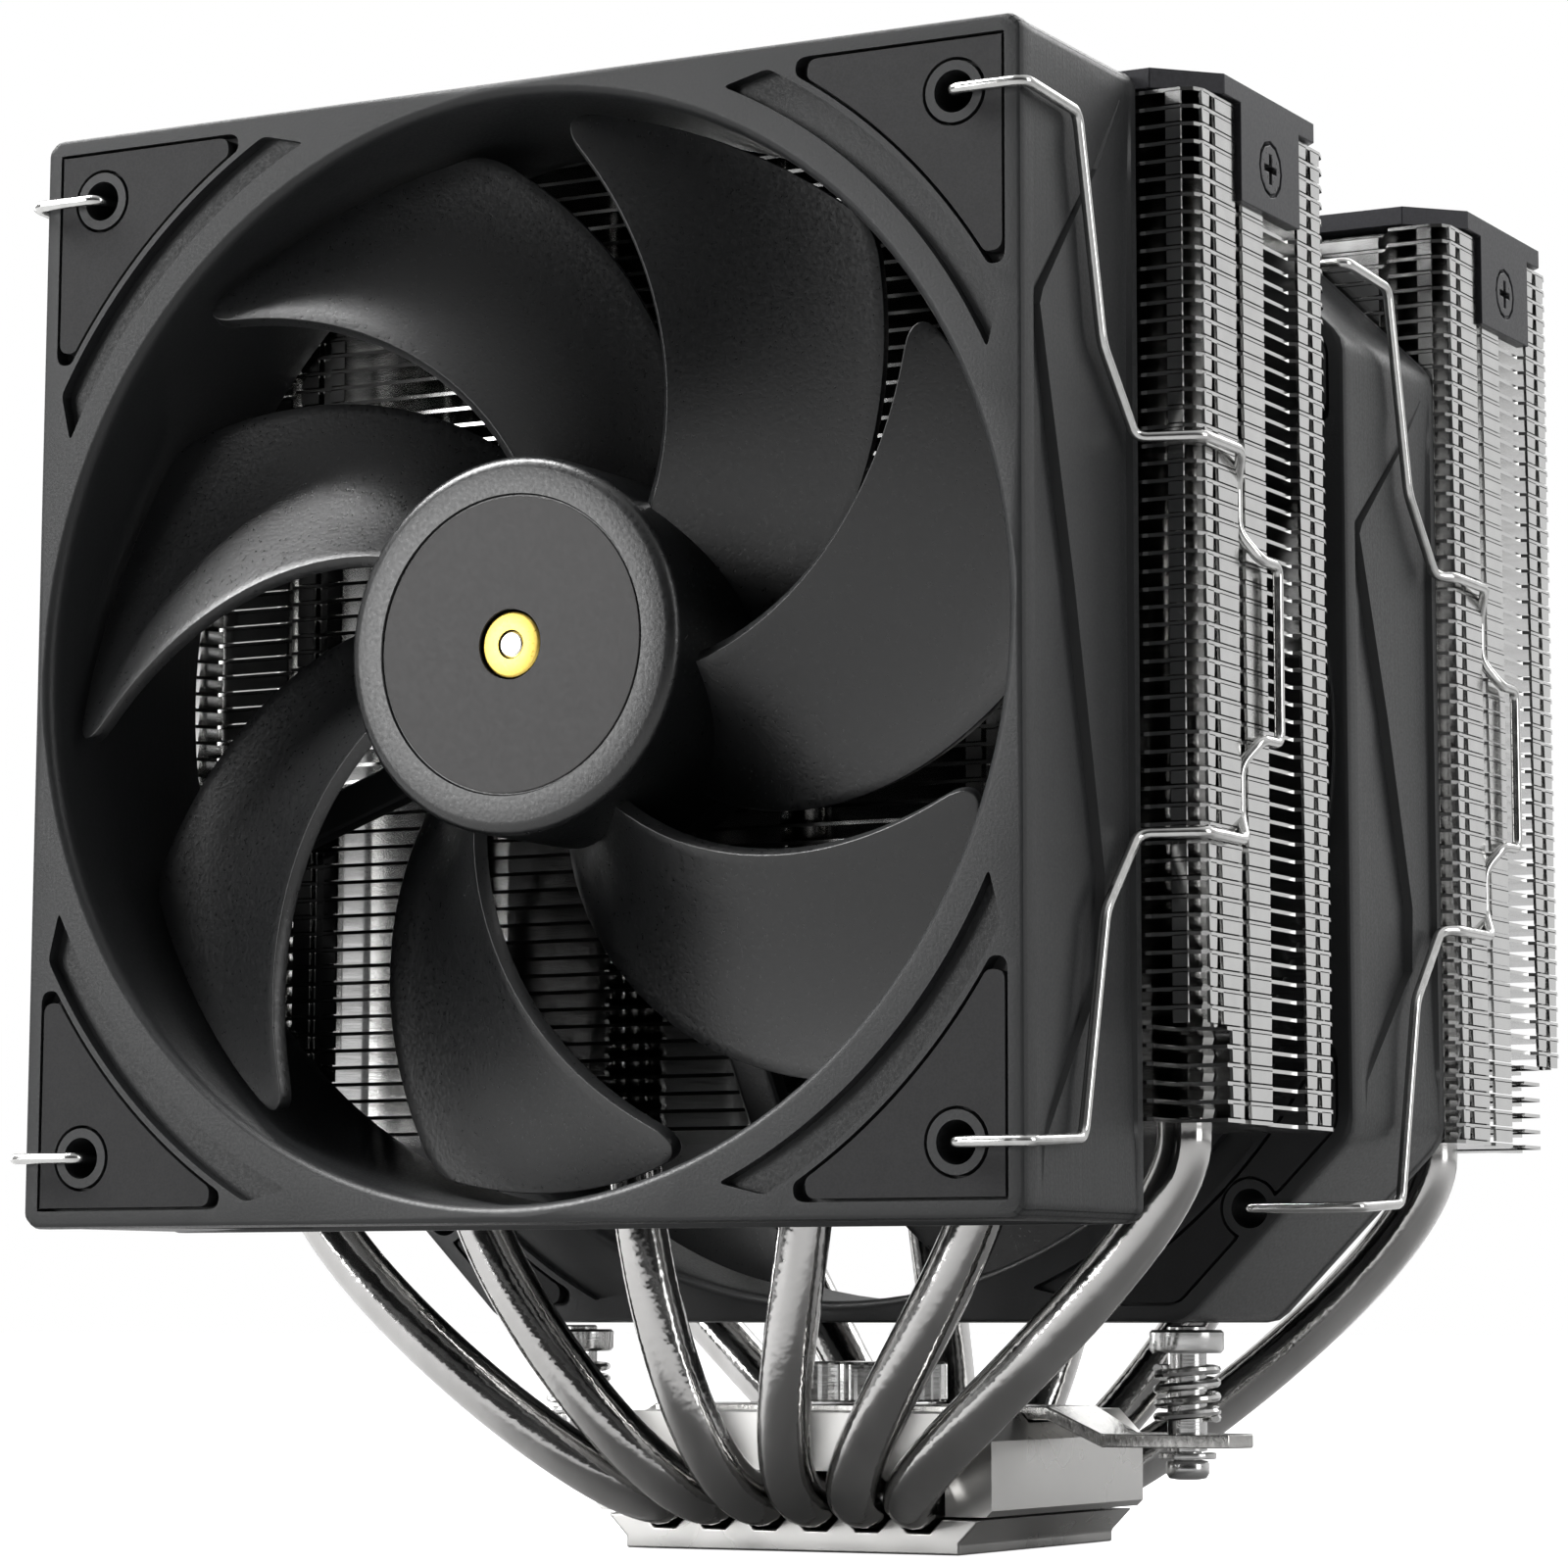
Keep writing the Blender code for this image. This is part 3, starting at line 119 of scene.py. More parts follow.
def satin_nickel():
    """Nickel over milled copper: a soft grey mirror, with fine cutter marks along the block."""
    material, shader, place = new_material("satin_nickel", "b9b8b5", 1.0, 0.3)
    cutter_marks = grain(material, place, 0.9, stretch=(1, 0.04, 1))
    stains = grain(material, place, 9.0)
    feed(material, spread(material, stains, 0.24, 0.36), shader, "Roughness")
    feed(material, colours(material, stains, "c2c1bf", "d6d5d3"), shader, "Base Color")
    feed(material, relief(material, cutter_marks, 0.01, 0.25), shader, "Normal")
    return material


def whole_copy(cad_node):
    """A CAD node's shape with its loose triangles joined and its flat faces made whole."""
    bm = bmesh.new()
    bm.from_mesh(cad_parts[cad_node].data)
    bmesh.ops.remove_doubles(bm, verts=bm.verts, dist=0.001 * MM)
    bmesh.ops.dissolve_limit(bm, angle_limit=math.radians(0.5), verts=bm.verts, edges=bm.edges)
    return bm


def break_edges(bm, width_mm, segments=2, sharper_than=30):
    """Rounds every edge that is sharper than this many degrees."""
    least = math.radians(sharper_than)
    edges = [e for e in bm.edges if e.is_manifold and e.calc_face_angle() > least]
    settings = {"segments": segments, "profile": 0.5, "affect": "EDGES", "material": -1, "clamp_overlap": True}
    bmesh.ops.bevel(bm, geom=edges, offset=width_mm * MM, **settings)


def add_piece(name, bm, material, body, replaced=(), smooth_below=40, weighted=True):
    """Puts a finished shape in the scene as a piece that moves with a body and stands for some CAD nodes."""
    mesh = bpy.data.meshes.new(name)
    bm.to_mesh(mesh)
    bm.free()
    mesh.shade_smooth()
    mesh.set_sharp_from_angle(angle=math.radians(smooth_below))
    mesh.materials.append(material)
    piece = bpy.data.objects.new(name, mesh)
    bpy.context.scene.collection.objects.link(piece)
    if weighted:
        normals = piece.modifiers.new("even_shading", "WEIGHTED_NORMAL")
        normals.keep_sharp = True
    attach(piece, body)
    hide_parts(*replaced)
    return piece


base_nickel = satin_nickel()
for node, edge_mm in (("cold_plate", 0.25), ("base_block", 0.3)):
    shape = whole_copy(node)
    break_edges(shape, edge_mm, sharper_than=40)
    add_piece(node + "_plated", shape, base_nickel, "cooler", [node])

# ---------------------------------------------------------------- heat pipes
# Six copper tubes, each bent to a U so that both ends stand in a tower while its middle lies in the base.
# They are plated bright; the bender leaves fine wrinkles on the inside and the flanks of each bend.

PIPE_R = 3.0 * MM
PIPE_BASE_Z = 5.7 * MM
BEND_START_Z = 45.0 * MM


def bright_plated_tube():
    """Polished nickel on drawn copper: almost a mirror, faintly warm, wrinkled only where the tube was bent."""
    material, shader, place = new_material("bright_plated_tube", "cfccc7", 1.0, 0.12)
    split = add_node(material, "ShaderNodeSeparateXYZ", {"Vector": place})
    limits = {"Value": split.outputs["Z"], "From Min": 44 * MM, "From Max": 30 * MM, "To Min": 0.0, "To Max": 1.0}
    bent = add_node(material, "ShaderNodeMapRange", limits, interpolation_type="SMOOTHSTEP").outputs["Result"]
    wrinkles = grain(material, place, 2.6, detail=3.0, stretch=(1.0, 1.0, 0.6))
    dents = grain(material, place, 0.9, detail=1.0)
    both = add_node(material, "ShaderNodeMath", {0: wrinkles, 1: dents}, operation="MULTIPLY").outputs[0]
    height = add_node(material, "ShaderNodeMath", {0: both, 1: bent}, operation="MULTIPLY").outputs[0]
    smears = grain(material, place, 5.0, stretch=(1, 1, 0.15))
    feed(material, spread(material, smears, 0.07, 0.2), shader, "Roughness")
    feed(material, colours(material, smears, "b4b3b1", "dad9d8"), shader, "Base Color")
    feed(material, relief(material, height, 0.16, 0.6), shader, "Normal")
    return material


def wire_mesh(points, radius, sides, smooth_corner=0.0):
    """A round bar along a list of points, closed at both ends. Its corners can be rounded to a radius."""
    path = []
    for number, point in enumerate(points):
        if not smooth_corner or number in (0, len(points) - 1):
            path.append(point)
            continue
        back = points[number - 1] - point
        on = points[number + 1] - point
        reach = min(smooth_corner, back.length * 0.45, on.length * 0.45)
        start = point + back.normalized() * reach
        end = point + on.normalized() * reach
        for step in range(6):
            t = step / 5
            path.append((1 - t) ** 2 * start + 2 * t * (1 - t) * point + t * t * end)
    curve = bpy.data.curves.new("bar", "CURVE")
    curve.dimensions = "3D"
    curve.bevel_depth = radius
    curve.bevel_resolution = sides // 4 - 1
    curve.use_fill_caps = True
    spline = curve.splines.new("POLY")
    spline.points.add(len(path) - 1)
    for point, place in zip(spline.points, path):
        point.co = (*place, 1)
    holder = bpy.data.objects.new("bar", curve)
    bpy.context.scene.collection.objects.link(holder)
    bpy.context.view_layer.update()
    made = holder.evaluated_get(bpy.context.evaluated_depsgraph_get()).to_mesh()
    bm = bmesh.new()
    bm.from_mesh(made)
    bpy.data.objects.remove(holder)
    bpy.data.curves.remove(curve)
    bmesh.ops.remove_doubles(bm, verts=bm.verts, dist=0.001 * MM)
    bmesh.ops.recalc_face_normals(bm, faces=bm.faces)
    return bm


def bend(start, leave, arrive, end, steps):
    """Points on a smooth bend that leaves and arrives along its two handles."""
    points = []
    for step in range(steps + 1):
        t = step / steps
        s = 1 - t
        points.append(s**3 * start + 3 * s * s * t * leave + 3 * s * t * t * arrive + t**3 * end)
    return points


plated_tube = bright_plated_tube()
tower_y = (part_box("front_fin_stack")[0].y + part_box("front_fin_stack")[1].y) / 2
base_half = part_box("base_block")[1].y
for number in range(1, 7):
    low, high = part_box(f"heat_pipe_{number}")
    place = number - 3.5
    base_x = place * 6.5 * MM
    tower_x = place * 22.4 * MM
    top = Vector((tower_x, tower_y, high.z))
    straight_end = Vector((tower_x, tower_y, BEND_START_Z))
    base_end = Vector((base_x, -base_half, PIPE_BASE_Z))
    arrive = straight_end - Vector((0, 0, 12 * MM))
    leave = base_end - Vector((0, 16 * MM, 0))
    line = [top] + bend(straight_end, arrive, leave, base_end, 40)
    line += [Vector((point.x, -point.y, point.z)) for point in reversed(line)]
    shape = wire_mesh(line, PIPE_R, 32)
    add_piece(f"heat_pipe_{number}_tube", shape, plated_tube, "cooler", [f"heat_pipe_{number}"])

# ---------------------------------------------------------------- fin stacks
# Each tower is a pack of thin aluminium fins pressed over the pipes. Folded tabs along the sides and at the
# front hook into the fin below and set the pitch, and each pipe hole has a drawn collar.

FIN_PITCH = 1.9 * MM
FIN_SHEET = 0.4 * MM
FIN_HALF_X = 66.5 * MM
FIN_HALF_Y = 18.3 * MM
LOW_FINS = 6


def bright_fin():
    """Rolled aluminium, plated and bright: long soft reflections with faint rolling lines along the fin."""
    material, shader, place = new_material("bright_fin", "d9d9d8", 1.0, 0.2)
    rolling = grain(material, place, 0.8, stretch=(0.02, 1, 1))
    patches = grain(material, place, 4.0)
    feed(material, spread(material, patches, 0.1, 0.2), shader, "Roughness")
    feed(material, colours(material, patches, "c4c4c3", "d8d8d7"), shader, "Base Color")
    feed(material, relief(material, rolling, 0.01, 0.25), shader, "Normal")
    return material


def slab(bm, low_mm, high_mm, taper=0.0):
    """A box between two corners, given in millimetres. A taper narrows its lower end along Y."""
    made = bmesh.ops.create_cube(bm, size=1.0)["verts"]
    low = Vector(low_mm)
    high = Vector(high_mm)
    for vert in made:
        vert.co = [l + (h - l) * (c + 0.5) for l, h, c in zip(low, high, vert.co)]
        if taper and vert.co.z < (low.z + high.z) / 2:
            vert.co.y += taper if vert.co.y < (low.y + high.y) / 2 else -taper
        vert.co *= MM
    return made


def flat_sheet(bm, outline_mm, bottom_mm, top_mm):
    """A flat plate of this outline in X and Y, in millimetres."""
    ring = [bm.verts.new((x * MM, y * MM, bottom_mm * MM)) for x, y in outline_mm]
    edges = [bm.edges.new((a, b)) for a, b in zip(ring, ring[1:] + ring[:1])]
    face = bmesh.ops.contextual_create(bm, geom=edges)["faces"]
    raised = bmesh.ops.extrude_face_region(bm, geom=face)["geom"]
    lifted = [item for item in raised if isinstance(item, bmesh.types.BMVert)]
    bmesh.ops.translate(bm, verts=lifted, vec=(0, 0, (top_mm - bottom_mm) * MM))


def fin_outline(front_cut, back_cut):
    """One fin, in millimetres from the tower's middle. The cuts shorten the outer corners of the lowest fins."""
    front = -18.3
    side = 66.5
    right = [(37.0, front), (46.0, front), (47.6, front + 2.4), (57.7, front + 2.4), (59.3, front)]
    if front_cut:
        right += [(side - 5.8, front), (side - 5.8, front + front_cut), (side, front + front_cut)]
    else:
        right += [(side - 1.9, front), (side - 0.6, front + 0.5), (side, front + 1.8)]
    right += [(side, -8.3), (65.4, -7.9), (65.4, -7.1), (side, -6.7)]
    right += [(side, -0.9), (65.6, -0.3), (65.6, 8.0), (side, 8.6)]
    if back_cut:
        right += [(side, 18.3 - back_cut), (side - 5.8, 18.3 - back_cut), (side - 5.8, 18.3)]
    else:
        right += [(side, 15.4), (66.0, 17.1), (64.6, 18.3)]
    right += [(59.3, 18.3), (57.7, 15.9), (47.6, 15.9), (46.0, 18.3)]
    return right + [(-x, y) for x, y in reversed(right)]


def add_fin(bm, front_cut, back_cut, hooks):
    """A fin with its tabs, made at height zero with the tabs hanging to the next fin."""
    flat_sheet(bm, fin_outline(front_cut, back_cut), -0.4, 0.0)
    if not hooks:
        return
    drop = -1.72
    first = -17.0 + front_cut
    last = 15.2 - back_cut
    walls = [(-17.0, -15.0), (-13.6, -8.4), (-6.6, -0.9), (8.6, 11.4), (12.6, 15.2)]
    hooks_y = [-14.3, -7.5, 12.0]
    for side in (-1, 1):
        for start, end in walls:
            start = max(start, first)
            end = min(end, last)
            if end - start > 0.5:
                xs = sorted((side * 66.5, side * 66.15))
                slab(bm, (xs[0], start, drop), (xs[1], end, -0.3), taper=0.12)
        for middle in hooks_y:
            if first < middle < last:
                xs = sorted((side * 65.9, side * 65.5))
                slab(bm, (xs[0], middle - 0.75, drop - 0.35), (xs[1], middle + 0.75, -0.3), taper=0.35)
        fronts = [(39.4, 41.2, 0), (42.9, 45.2, 0), (48.2, 57.1, 2.4)]
        if not front_cut:
            fronts.append((62.9, 64.6, 0))
        for low_x, high_x, inset in fronts:
            xs = sorted((side * low_x, side * high_x))
            slab(bm, (xs[0], -18.3 + inset, drop), (xs[1], -17.95 + inset, -0.3))
            if not (back_cut and high_x > 60):
                slab(bm, (xs[0], 17.95 - inset, drop), (xs[1], 18.3 - inset, -0.3))
        xs = sorted((side * 41.5, side * 42.6))
        slab(bm, (xs[0], -17.7, drop - 0.3), (xs[1], -17.4, -0.3))


def add_collars(bm, middle_y, height, radius_mm=3.25):
    """The drawn collars where the pipes pass through one fin."""
    for place in range(6):
        rings = []
        for radius, z in ((radius_mm + 0.25, -0.4), (radius_mm, -1.3)):
            ring = bmesh.ops.create_circle(bm, segments=12, radius=radius * MM)["verts"]
            offset = ((place - 2.5) * 22.4 * MM, middle_y, height + z * MM)
            bmesh.ops.translate(bm, verts=ring, vec=offset)
            rings += {e for v in ring for e in v.link_edges}
        bmesh.ops.bridge_loops(bm, edges=rings)


fin_metal = bright_fin()
for tower, low_cuts in (("front", (5.6, 0.0)), ("rear", (0.0, 15.0))):
    low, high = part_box(f"{tower}_fin_stack")
    middle_y = (low.y + high.y) / 2
    count = round((high.z - low.z) / FIN_PITCH)
    stack = bmesh.new()
    for number in range(count + 1):
        cuts = low_cuts if number < LOW_FINS else (0.0, 0.0)
        add = bmesh.new()
        add_fin(add, *cuts, hooks=number > 0)
        height = low.z + FIN_SHEET + (high.z - low.z - FIN_SHEET) * number / count
        bmesh.ops.translate(add, verts=add.verts, vec=(0, middle_y, height))
        if number > 0:
            add_collars(add, middle_y, height)
        fin = bpy.data.meshes.new("fin")
        add.to_mesh(fin)
        add.free()
        stack.from_mesh(fin)
        bpy.data.meshes.remove(fin)
    bmesh.ops.recalc_face_normals(stack, faces=stack.faces)
    name = f"{tower}_fins"
    add_piece(name, stack, fin_metal, "cooler", [f"{tower}_fin_stack"], 20, weighted=False)

# ---------------------------------------------------------------- top covers and their screws
# Each tower is closed by a pressed aluminium cover, black anodised with a soft sheen. A tab on either side
# folds down over the fins and is held by a small countersunk cross-head screw.


def black_anodised():
    """Bead-blasted and black anodised: a smooth dark sheen with a barely visible speckle."""
    material, shader, place = new_material("black_anodised", "2b2b2d", 0.55, 0.38)
    speckle = grain(material, place, 0.35)
    feed(material, colours(material, speckle, "242426", "36363a"), shader, "Base Color")
    feed(material, spread(material, speckle, 0.33, 0.45), shader, "Roughness")
    feed(material, relief(material, speckle, 0.02, 0.3), shader, "Normal")
    return material


def black_screw():
    """Blackened steel, its colour varying in small random patches from darker to brighter."""
    material, shader, place = new_material("black_screw", "3a3a3b", 0.9, 0.32)
    rubbing = grain(material, place, 0.6)
    feed(material, colours(material, rubbing, "2a2a2b", "565658"), shader, "Base Color")
    feed(material, spread(material, rubbing, 0.25, 0.42), shader, "Roughness")
    return material


cover_coat = black_anodised()
screw_black = black_screw()
for tower in ("front", "rear"):
    shape = whole_copy(f"{tower}_top_cover")
    break_edges(shape, 0.35, segments=3, sharper_than=35)
    add_piece(f"{tower}_cover_pressed", shape, cover_coat, "cooler", [f"{tower}_top_cover"])
    for side in ("left", "right"):
        node = f"{tower}_cover_screw_{side}"
        shape = whole_copy(node)
        break_edges(shape, 0.1, sharper_than=45)
        add_piece(node + "_turned", shape, screw_black, "cooler", [node])

# ---------------------------------------------------------------- mounting bar
# A strip of steel blanked and bent so that its ears sit lower than its middle. It is nickel plated bright,
# and the sheared edges stay rougher than the faces.


def bright_strip():
    """Bright nickel on sheet steel, with rough shear marks drawn out upright over the whole strip."""
    material, shader, place = new_material("bright_strip", "d4d3d1", 1.0, 0.14)
    shear = grain(material, place, 0.5, detail=4.0, stretch=(1, 1, 0.35))
    waves = grain(material, place, 6.0)
    feed(material, spread(material, shear, 0.1, 0.3), shader, "Roughness")
    feed(material, colours(material, waves, "c2c1be", "dddcda"), shader, "Base Color")
    feed(material, relief(material, shear, 0.08, 0.6), shader, "Normal")
    return material


shape = whole_copy("mounting_bar")
break_edges(shape, 0.25, sharper_than=25)
add_piece("mounting_bar_plated", shape, bright_strip(), "cooler", ["mounting_bar"])

# ---------------------------------------------------------------- spring screws
# Two turned steel screws hold the cooler down through the bar's ears. A spring under each head limits the
# force, and a ring in a groove below the ear keeps the screw from falling out.


def turned_steel():
    """Plated, turned steel: bright bands with the fine rings that the lathe leaves."""
    material, shader, place = new_material("turned_steel", "cfcfce", 1.0, 0.16)
    rings = grain(material, place, 0.3, stretch=(0.05, 0.05, 1))
    feed(material, spread(material, rings, 0.1, 0.26), shader, "Roughness")
    feed(material, relief(material, rings, 0.02, 0.4), shader, "Normal")
    return material


def spring_steel():
    """Cold drawn, bright spring wire, with drawing lines too fine to part, seen as a slightly uneven gloss."""
    material, shader, place = new_material("spring_steel", "d2d2d1", 1.0, 0.15)
    streaks = grain(material, place, 1.2)
    feed(material, spread(material, streaks, 0.1, 0.24), shader, "Roughness")
    feed(material, colours(material, streaks, "c0c0be", "e0e0df"), shader, "Base Color")
    return material


def lathe(bm, profile_mm, segments, axis=(0, 0, 1)):
    """A profile of radius and height in millimetres, turned about an axis and closed where it touches it."""
    along = Vector(axis)
    points = []
    for radius, height in profile_mm:
        points.append(bm.verts.new((Vector((1, 0, 0)) * radius + along * height) * MM))
    edges = [bm.edges.new((a, b)) for a, b in zip(points, points[1:])]
    if profile_mm[0][0] > 0:
        edges.append(bm.edges.new((points[-1], points[0])))
    turn = {"axis": axis, "cent": (0, 0, 0), "steps": segments, "angle": 2 * math.pi, "use_merge": True}
    bmesh.ops.spin(bm, geom=points + edges, **turn)
    bmesh.ops.remove_doubles(bm, verts=bm.verts, dist=0.001 * MM)
    bmesh.ops.recalc_face_normals(bm, faces=bm.faces)


steel = turned_steel()
wire_steel = spring_steel()
screw_profile = [
    (0, 25.2), (2.0, 25.2), (2.2, 25.0), (2.2, 24.7), (3.9, 24.7), (4.2, 24.4), (4.2, 22.5), (3.9, 22.1),
    (3.3, 22.1), (2.25, 22.1), (2.25, 11.2), (1.6, 11.1), (1.6, 10.2), (2.3, 10.1), (2.45, 9.8), (2.45, 8.7),
    (2.1, 8.15), (1.3, 8.0), (0, 8.0),
]
for side, name in ((-1, "left"), (1, "right")):
    screw_x = side * 40 * MM
    shape = bmesh.new()
    lathe(shape, screw_profile, 48)
    bmesh.ops.translate(shape, verts=shape.verts, vec=(screw_x, 0, 0))
    node = f"spring_screw_{name}"
    add_piece(node + "_turned", shape, steel, f"{name}_spring_screw", [node])

    node = f"retaining_ring_{name}"
    shape = whole_copy(node)
    break_edges(shape, 0.1, sharper_than=45)
    add_piece(node + "_stamped", shape, steel, f"{name}_screw_carrier", [node])

    node = f"screw_spring_{name}"
    low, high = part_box(node)
    coil_r = (high.x - low.x) / 2 - 0.5 * MM
    turns = 4.6
    line = []
    for step in range(int(turns * 24) + 1):
        turn = step / 24
        ease = min(turn, turns - turn, 0.7) / 0.7
        share = turn / turns
        rise = low.z + 0.5 * MM + (high.z - low.z - 1.0 * MM) * (share + (0.5 - share) * 0.25 * (1 - ease))
        line.append(
            Vector((screw_x + coil_r * math.cos(math.tau * turn), coil_r * math.sin(math.tau * turn), rise))
        )
    piece = add_piece(f"{node}_coil", wire_mesh(line, 0.5 * MM, 12), wire_steel, "cooler", [node])
    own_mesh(piece)

# ---------------------------------------------------------------- pressure screw
# The thumb screw in the middle of the bar presses the block down. Its head is turned from bar and broached
# with wide upright flutes, so that it can be turned with the fingers.

shape = bmesh.new()
lathe(shape, [(0, 16.4), (2.2, 16.4), (2.2, 9.9), (1.9, 9.6), (0, 9.6)], 32)
flutes = 30
head = []
for step in range(flutes * 4):
    angle = math.tau * step / (flutes * 4)
    radius = 8.7 if step % 4 < 2 else 8.15
    head.append((radius * math.cos(angle), radius * math.sin(angle)))
knob = bmesh.new()
flat_sheet(knob, head, 16.4, 21.0)
rim = [e for e in knob.edges if abs(e.verts[0].co.z - e.verts[1].co.z) < 0.01 * MM]
bmesh.ops.bevel(knob, geom=rim, offset=0.3 * MM, segments=2, profile=0.5, affect="EDGES", material=-1)
joined = bpy.data.meshes.new("knob")
knob.to_mesh(joined)
knob.free()
shape.from_mesh(joined)
bmesh.ops.recalc_face_normals(shape, faces=shape.faces)
add_piece("pressure_screw_fluted", shape, steel, "pressure_screw", ["pressure_screw"], 25)

# ---------------------------------------------------------------- fan frames
# Each frame is one moulding of glass-filled polyester: a round duct with a rounded lip, in a rim whose sides
# are sculpted like overlapping scales, with pockets for the soft corner pads and four struts at the back.

HOLE_PLACE_MM = 52.5
SCALE_EDGE = (
    (-1.0, 4.2, 0.0), (-0.92, 4.6, 0.15), (-0.86, 7.2, 0.5), (-0.66, 16.2, 0.9), (-0.61, 18.6, 1.0),
    (-0.44, 19.0, 1.0), (0.06, 12.2, 1.1), (0.35, 7.5, 1.1), (0.54, 4.4, 0.9), (0.57, 5.2, 0.9),
    (0.83, 18.1, 0.4), (0.98, 24.0, 0.0),
)


def moulded_polyester():
    """Black glass-filled polyester from an etched mould: satin, with a fine even grain and faint diagonal lines."""
    material, shader, place = new_material("moulded_polyester", "1e1f20", 0.0, 0.42, Specular_IOR_Level=0.45)
    etched = grain(material, place, 0.32)
    # The real hairlines are about 0.2 mm apart, and are drawn at 0.6 mm so that they show.
    turned = {"Vector": place, "Rotation": (math.radians(35), 0, 0), "Scale": (1, 1, 0.03)}
    diagonal = add_node(material, "ShaderNodeMapping", turned).outputs["Vector"]
    lines = {"Vector": diagonal, "Scale": 1 / (0.6 * MM), "Detail": 1.0}
    hairlines = add_node(material, "ShaderNodeTexNoise", lines).outputs["Fac"]
    normal = add_node(material, "ShaderNodeNewGeometry", {}).outputs["Normal"]
    split = add_node(material, "ShaderNodeSeparateXYZ", {"Vector": normal})
    sideways = add_node(material, "ShaderNodeMath", {0: split.outputs["X"]}, operation="ABSOLUTE").outputs[0]
    limits = {"Value": sideways, "From Min": 0.9, "From Max": 0.99}
    on_sides = add_node(material, "ShaderNodeMapRange", limits).outputs["Result"]
    lined = add_node(material, "ShaderNodeMath", {0: hairlines, 1: on_sides}, operation="MULTIPLY").outputs[0]
    both = add_node(material, "ShaderNodeMath", {0: lined, 1: etched}, operation="ADD").outputs[0]
    feed(material, spread(material, etched, 0.37, 0.5), shader, "Roughness")
    feed(material, colours(material, grain(material, place, 6.0), "1b1c1d", "222324"), shader, "Base Color")
    feed(material, relief(material, both, 0.05, 0.35), shader, "Normal")
    return material


def loop_of(bm, points):
    """A closed ring of edges through these points."""
    ring = [bm.verts.new(point) for point in points]
    return [bm.edges.new((a, b)) for a, b in zip(ring, ring[1:] + ring[:1])]


def skin(bm, rings):
    """A tube through closed rings of equally many points, open at both ends. Its first and last edges."""
    made = [[bm.verts.new(point) for point in ring] for ring in rings]
    for first, second in zip(made, made[1:]):
        for number in range(len(first)):
            bm.faces.new((first[number - 1], first[number], second[number], second[number - 1]))
    return [edge for ring in (made[0], made[-1]) for vert in ring for edge in vert.link_edges if edge.is_boundary]


def rim_stations(half, cut):
    """Places round the rim: where, which way is out, and the scale edge's depth and dip there, in millimetres."""
    square = [(half, -half + cut), (half, half - cut), (half - cut, half), (-half + cut, half)]
    corners = [Vector(point) for point in square] + [-Vector(point) for point in square]
    stations = []
    for number, start in enumerate(corners):
        end = corners[(number + 1) % len(corners)]
        length = (end - start).length
        along = (end - start).normalized()
        out = Vector((along.y, -along.x))
        before = (start - corners[number - 1]).normalized()
        out_before = Vector((before.y, -before.x))
        reach = min(1.6, cut * 0.45)
        for share in (0.0, 0.5, 1.0):
            place = (1 - share) ** 2 * (start - before * reach) + 2 * share * (1 - share) * start
            place += share**2 * (start + along * reach)
            stations.append((place, (out_before * (1 - share) + out * share).normalized(), 14.0, 0.0))
        if length < half:
            for share in (0.25, 0.5, 0.75):
                stations.append((start + along * length * share, out, 14.0, 0.0))
            continue
        for share, depth, dip in SCALE_EDGE:
            place = (start + end) / 2 + along * share * (length / 2 - reach - 1.0)
            stations.append((place, out, depth, dip))
    return stations


def rim_loops(half, cut, depth):
    """The rim's closed rings from front to back: rounded edge, flange, the scale's lower and upper edge, flange."""
    stations = rim_stations(half, cut)

    def ring(inset, back, dips=0.0):
        return [
            Vector((*(place - out * (inset + dip * dips)), 0)).xzy * MM + Vector((0, back(edge) * MM, 0))
            for place, out, edge, dip in stations
        ]

    return [
        ring(0.6, lambda edge: 0.0),
        ring(0.2, lambda edge: 0.15),
        ring(0.0, lambda edge: 0.7),
        ring(0.0, lambda edge: 2.6),
        ring(0.12, lambda edge: 2.75),
        ring(0.12, lambda edge: edge - 0.25, dips=1.0),
        ring(0.12, lambda edge: edge),
        ring(0.12, lambda edge: 26.0, dips=0.5),
        ring(0.0, lambda edge: 26.3),
        ring(0.0, lambda edge: depth - 0.5),
        ring(0.4, lambda edge: depth),
    ]


def carve(bm, tool):
    """Cuts a closed shape out of another, exactly."""
    pair = []
    for name, shape in (("blank", bm), ("tool", tool)):
        mesh = bpy.data.meshes.new(name)
        shape.to_mesh(mesh)
        pair.append(bpy.data.objects.new(name, mesh))
        bpy.context.scene.collection.objects.link(pair[-1])
    knife = pair[0].modifiers.new("cut", "BOOLEAN")
    knife.object = pair[1]
    knife.operation = "DIFFERENCE"
    bpy.context.view_layer.update()
    made = pair[0].evaluated_get(bpy.context.evaluated_depsgraph_get()).to_mesh()
    bm.clear()
    bm.from_mesh(made)
    for holder in pair:
        bpy.data.meshes.remove(holder.data)
    tool.free()


def facing(bm, low, high, *outlines):
    """A plate across the fan between two depths. Its outline and then its holes are in X and Z, in millimetres."""
    edges = [edge for points in outlines for edge in loop_of(bm, [Vector((x, low, z)) * MM for x, z in points])]
    filled = bmesh.ops.triangle_fill(bm, use_beauty=True, edges=edges)["geom"]
    flat = [item for item in filled if isinstance(item, bmesh.types.BMFace)]
    raised = bmesh.ops.extrude_face_region(bm, geom=flat)["geom"]
    lifted = [item for item in raised if isinstance(item, bmesh.types.BMVert)]
    bmesh.ops.translate(bm, verts=lifted, vec=(0, (high - low) * MM, 0))
    bmesh.ops.recalc_face_normals(bm, faces=bm.faces)
    bmesh.ops.dissolve_limit(bm, angle_limit=math.radians(0.5), verts=bm.verts, edges=bm.edges)


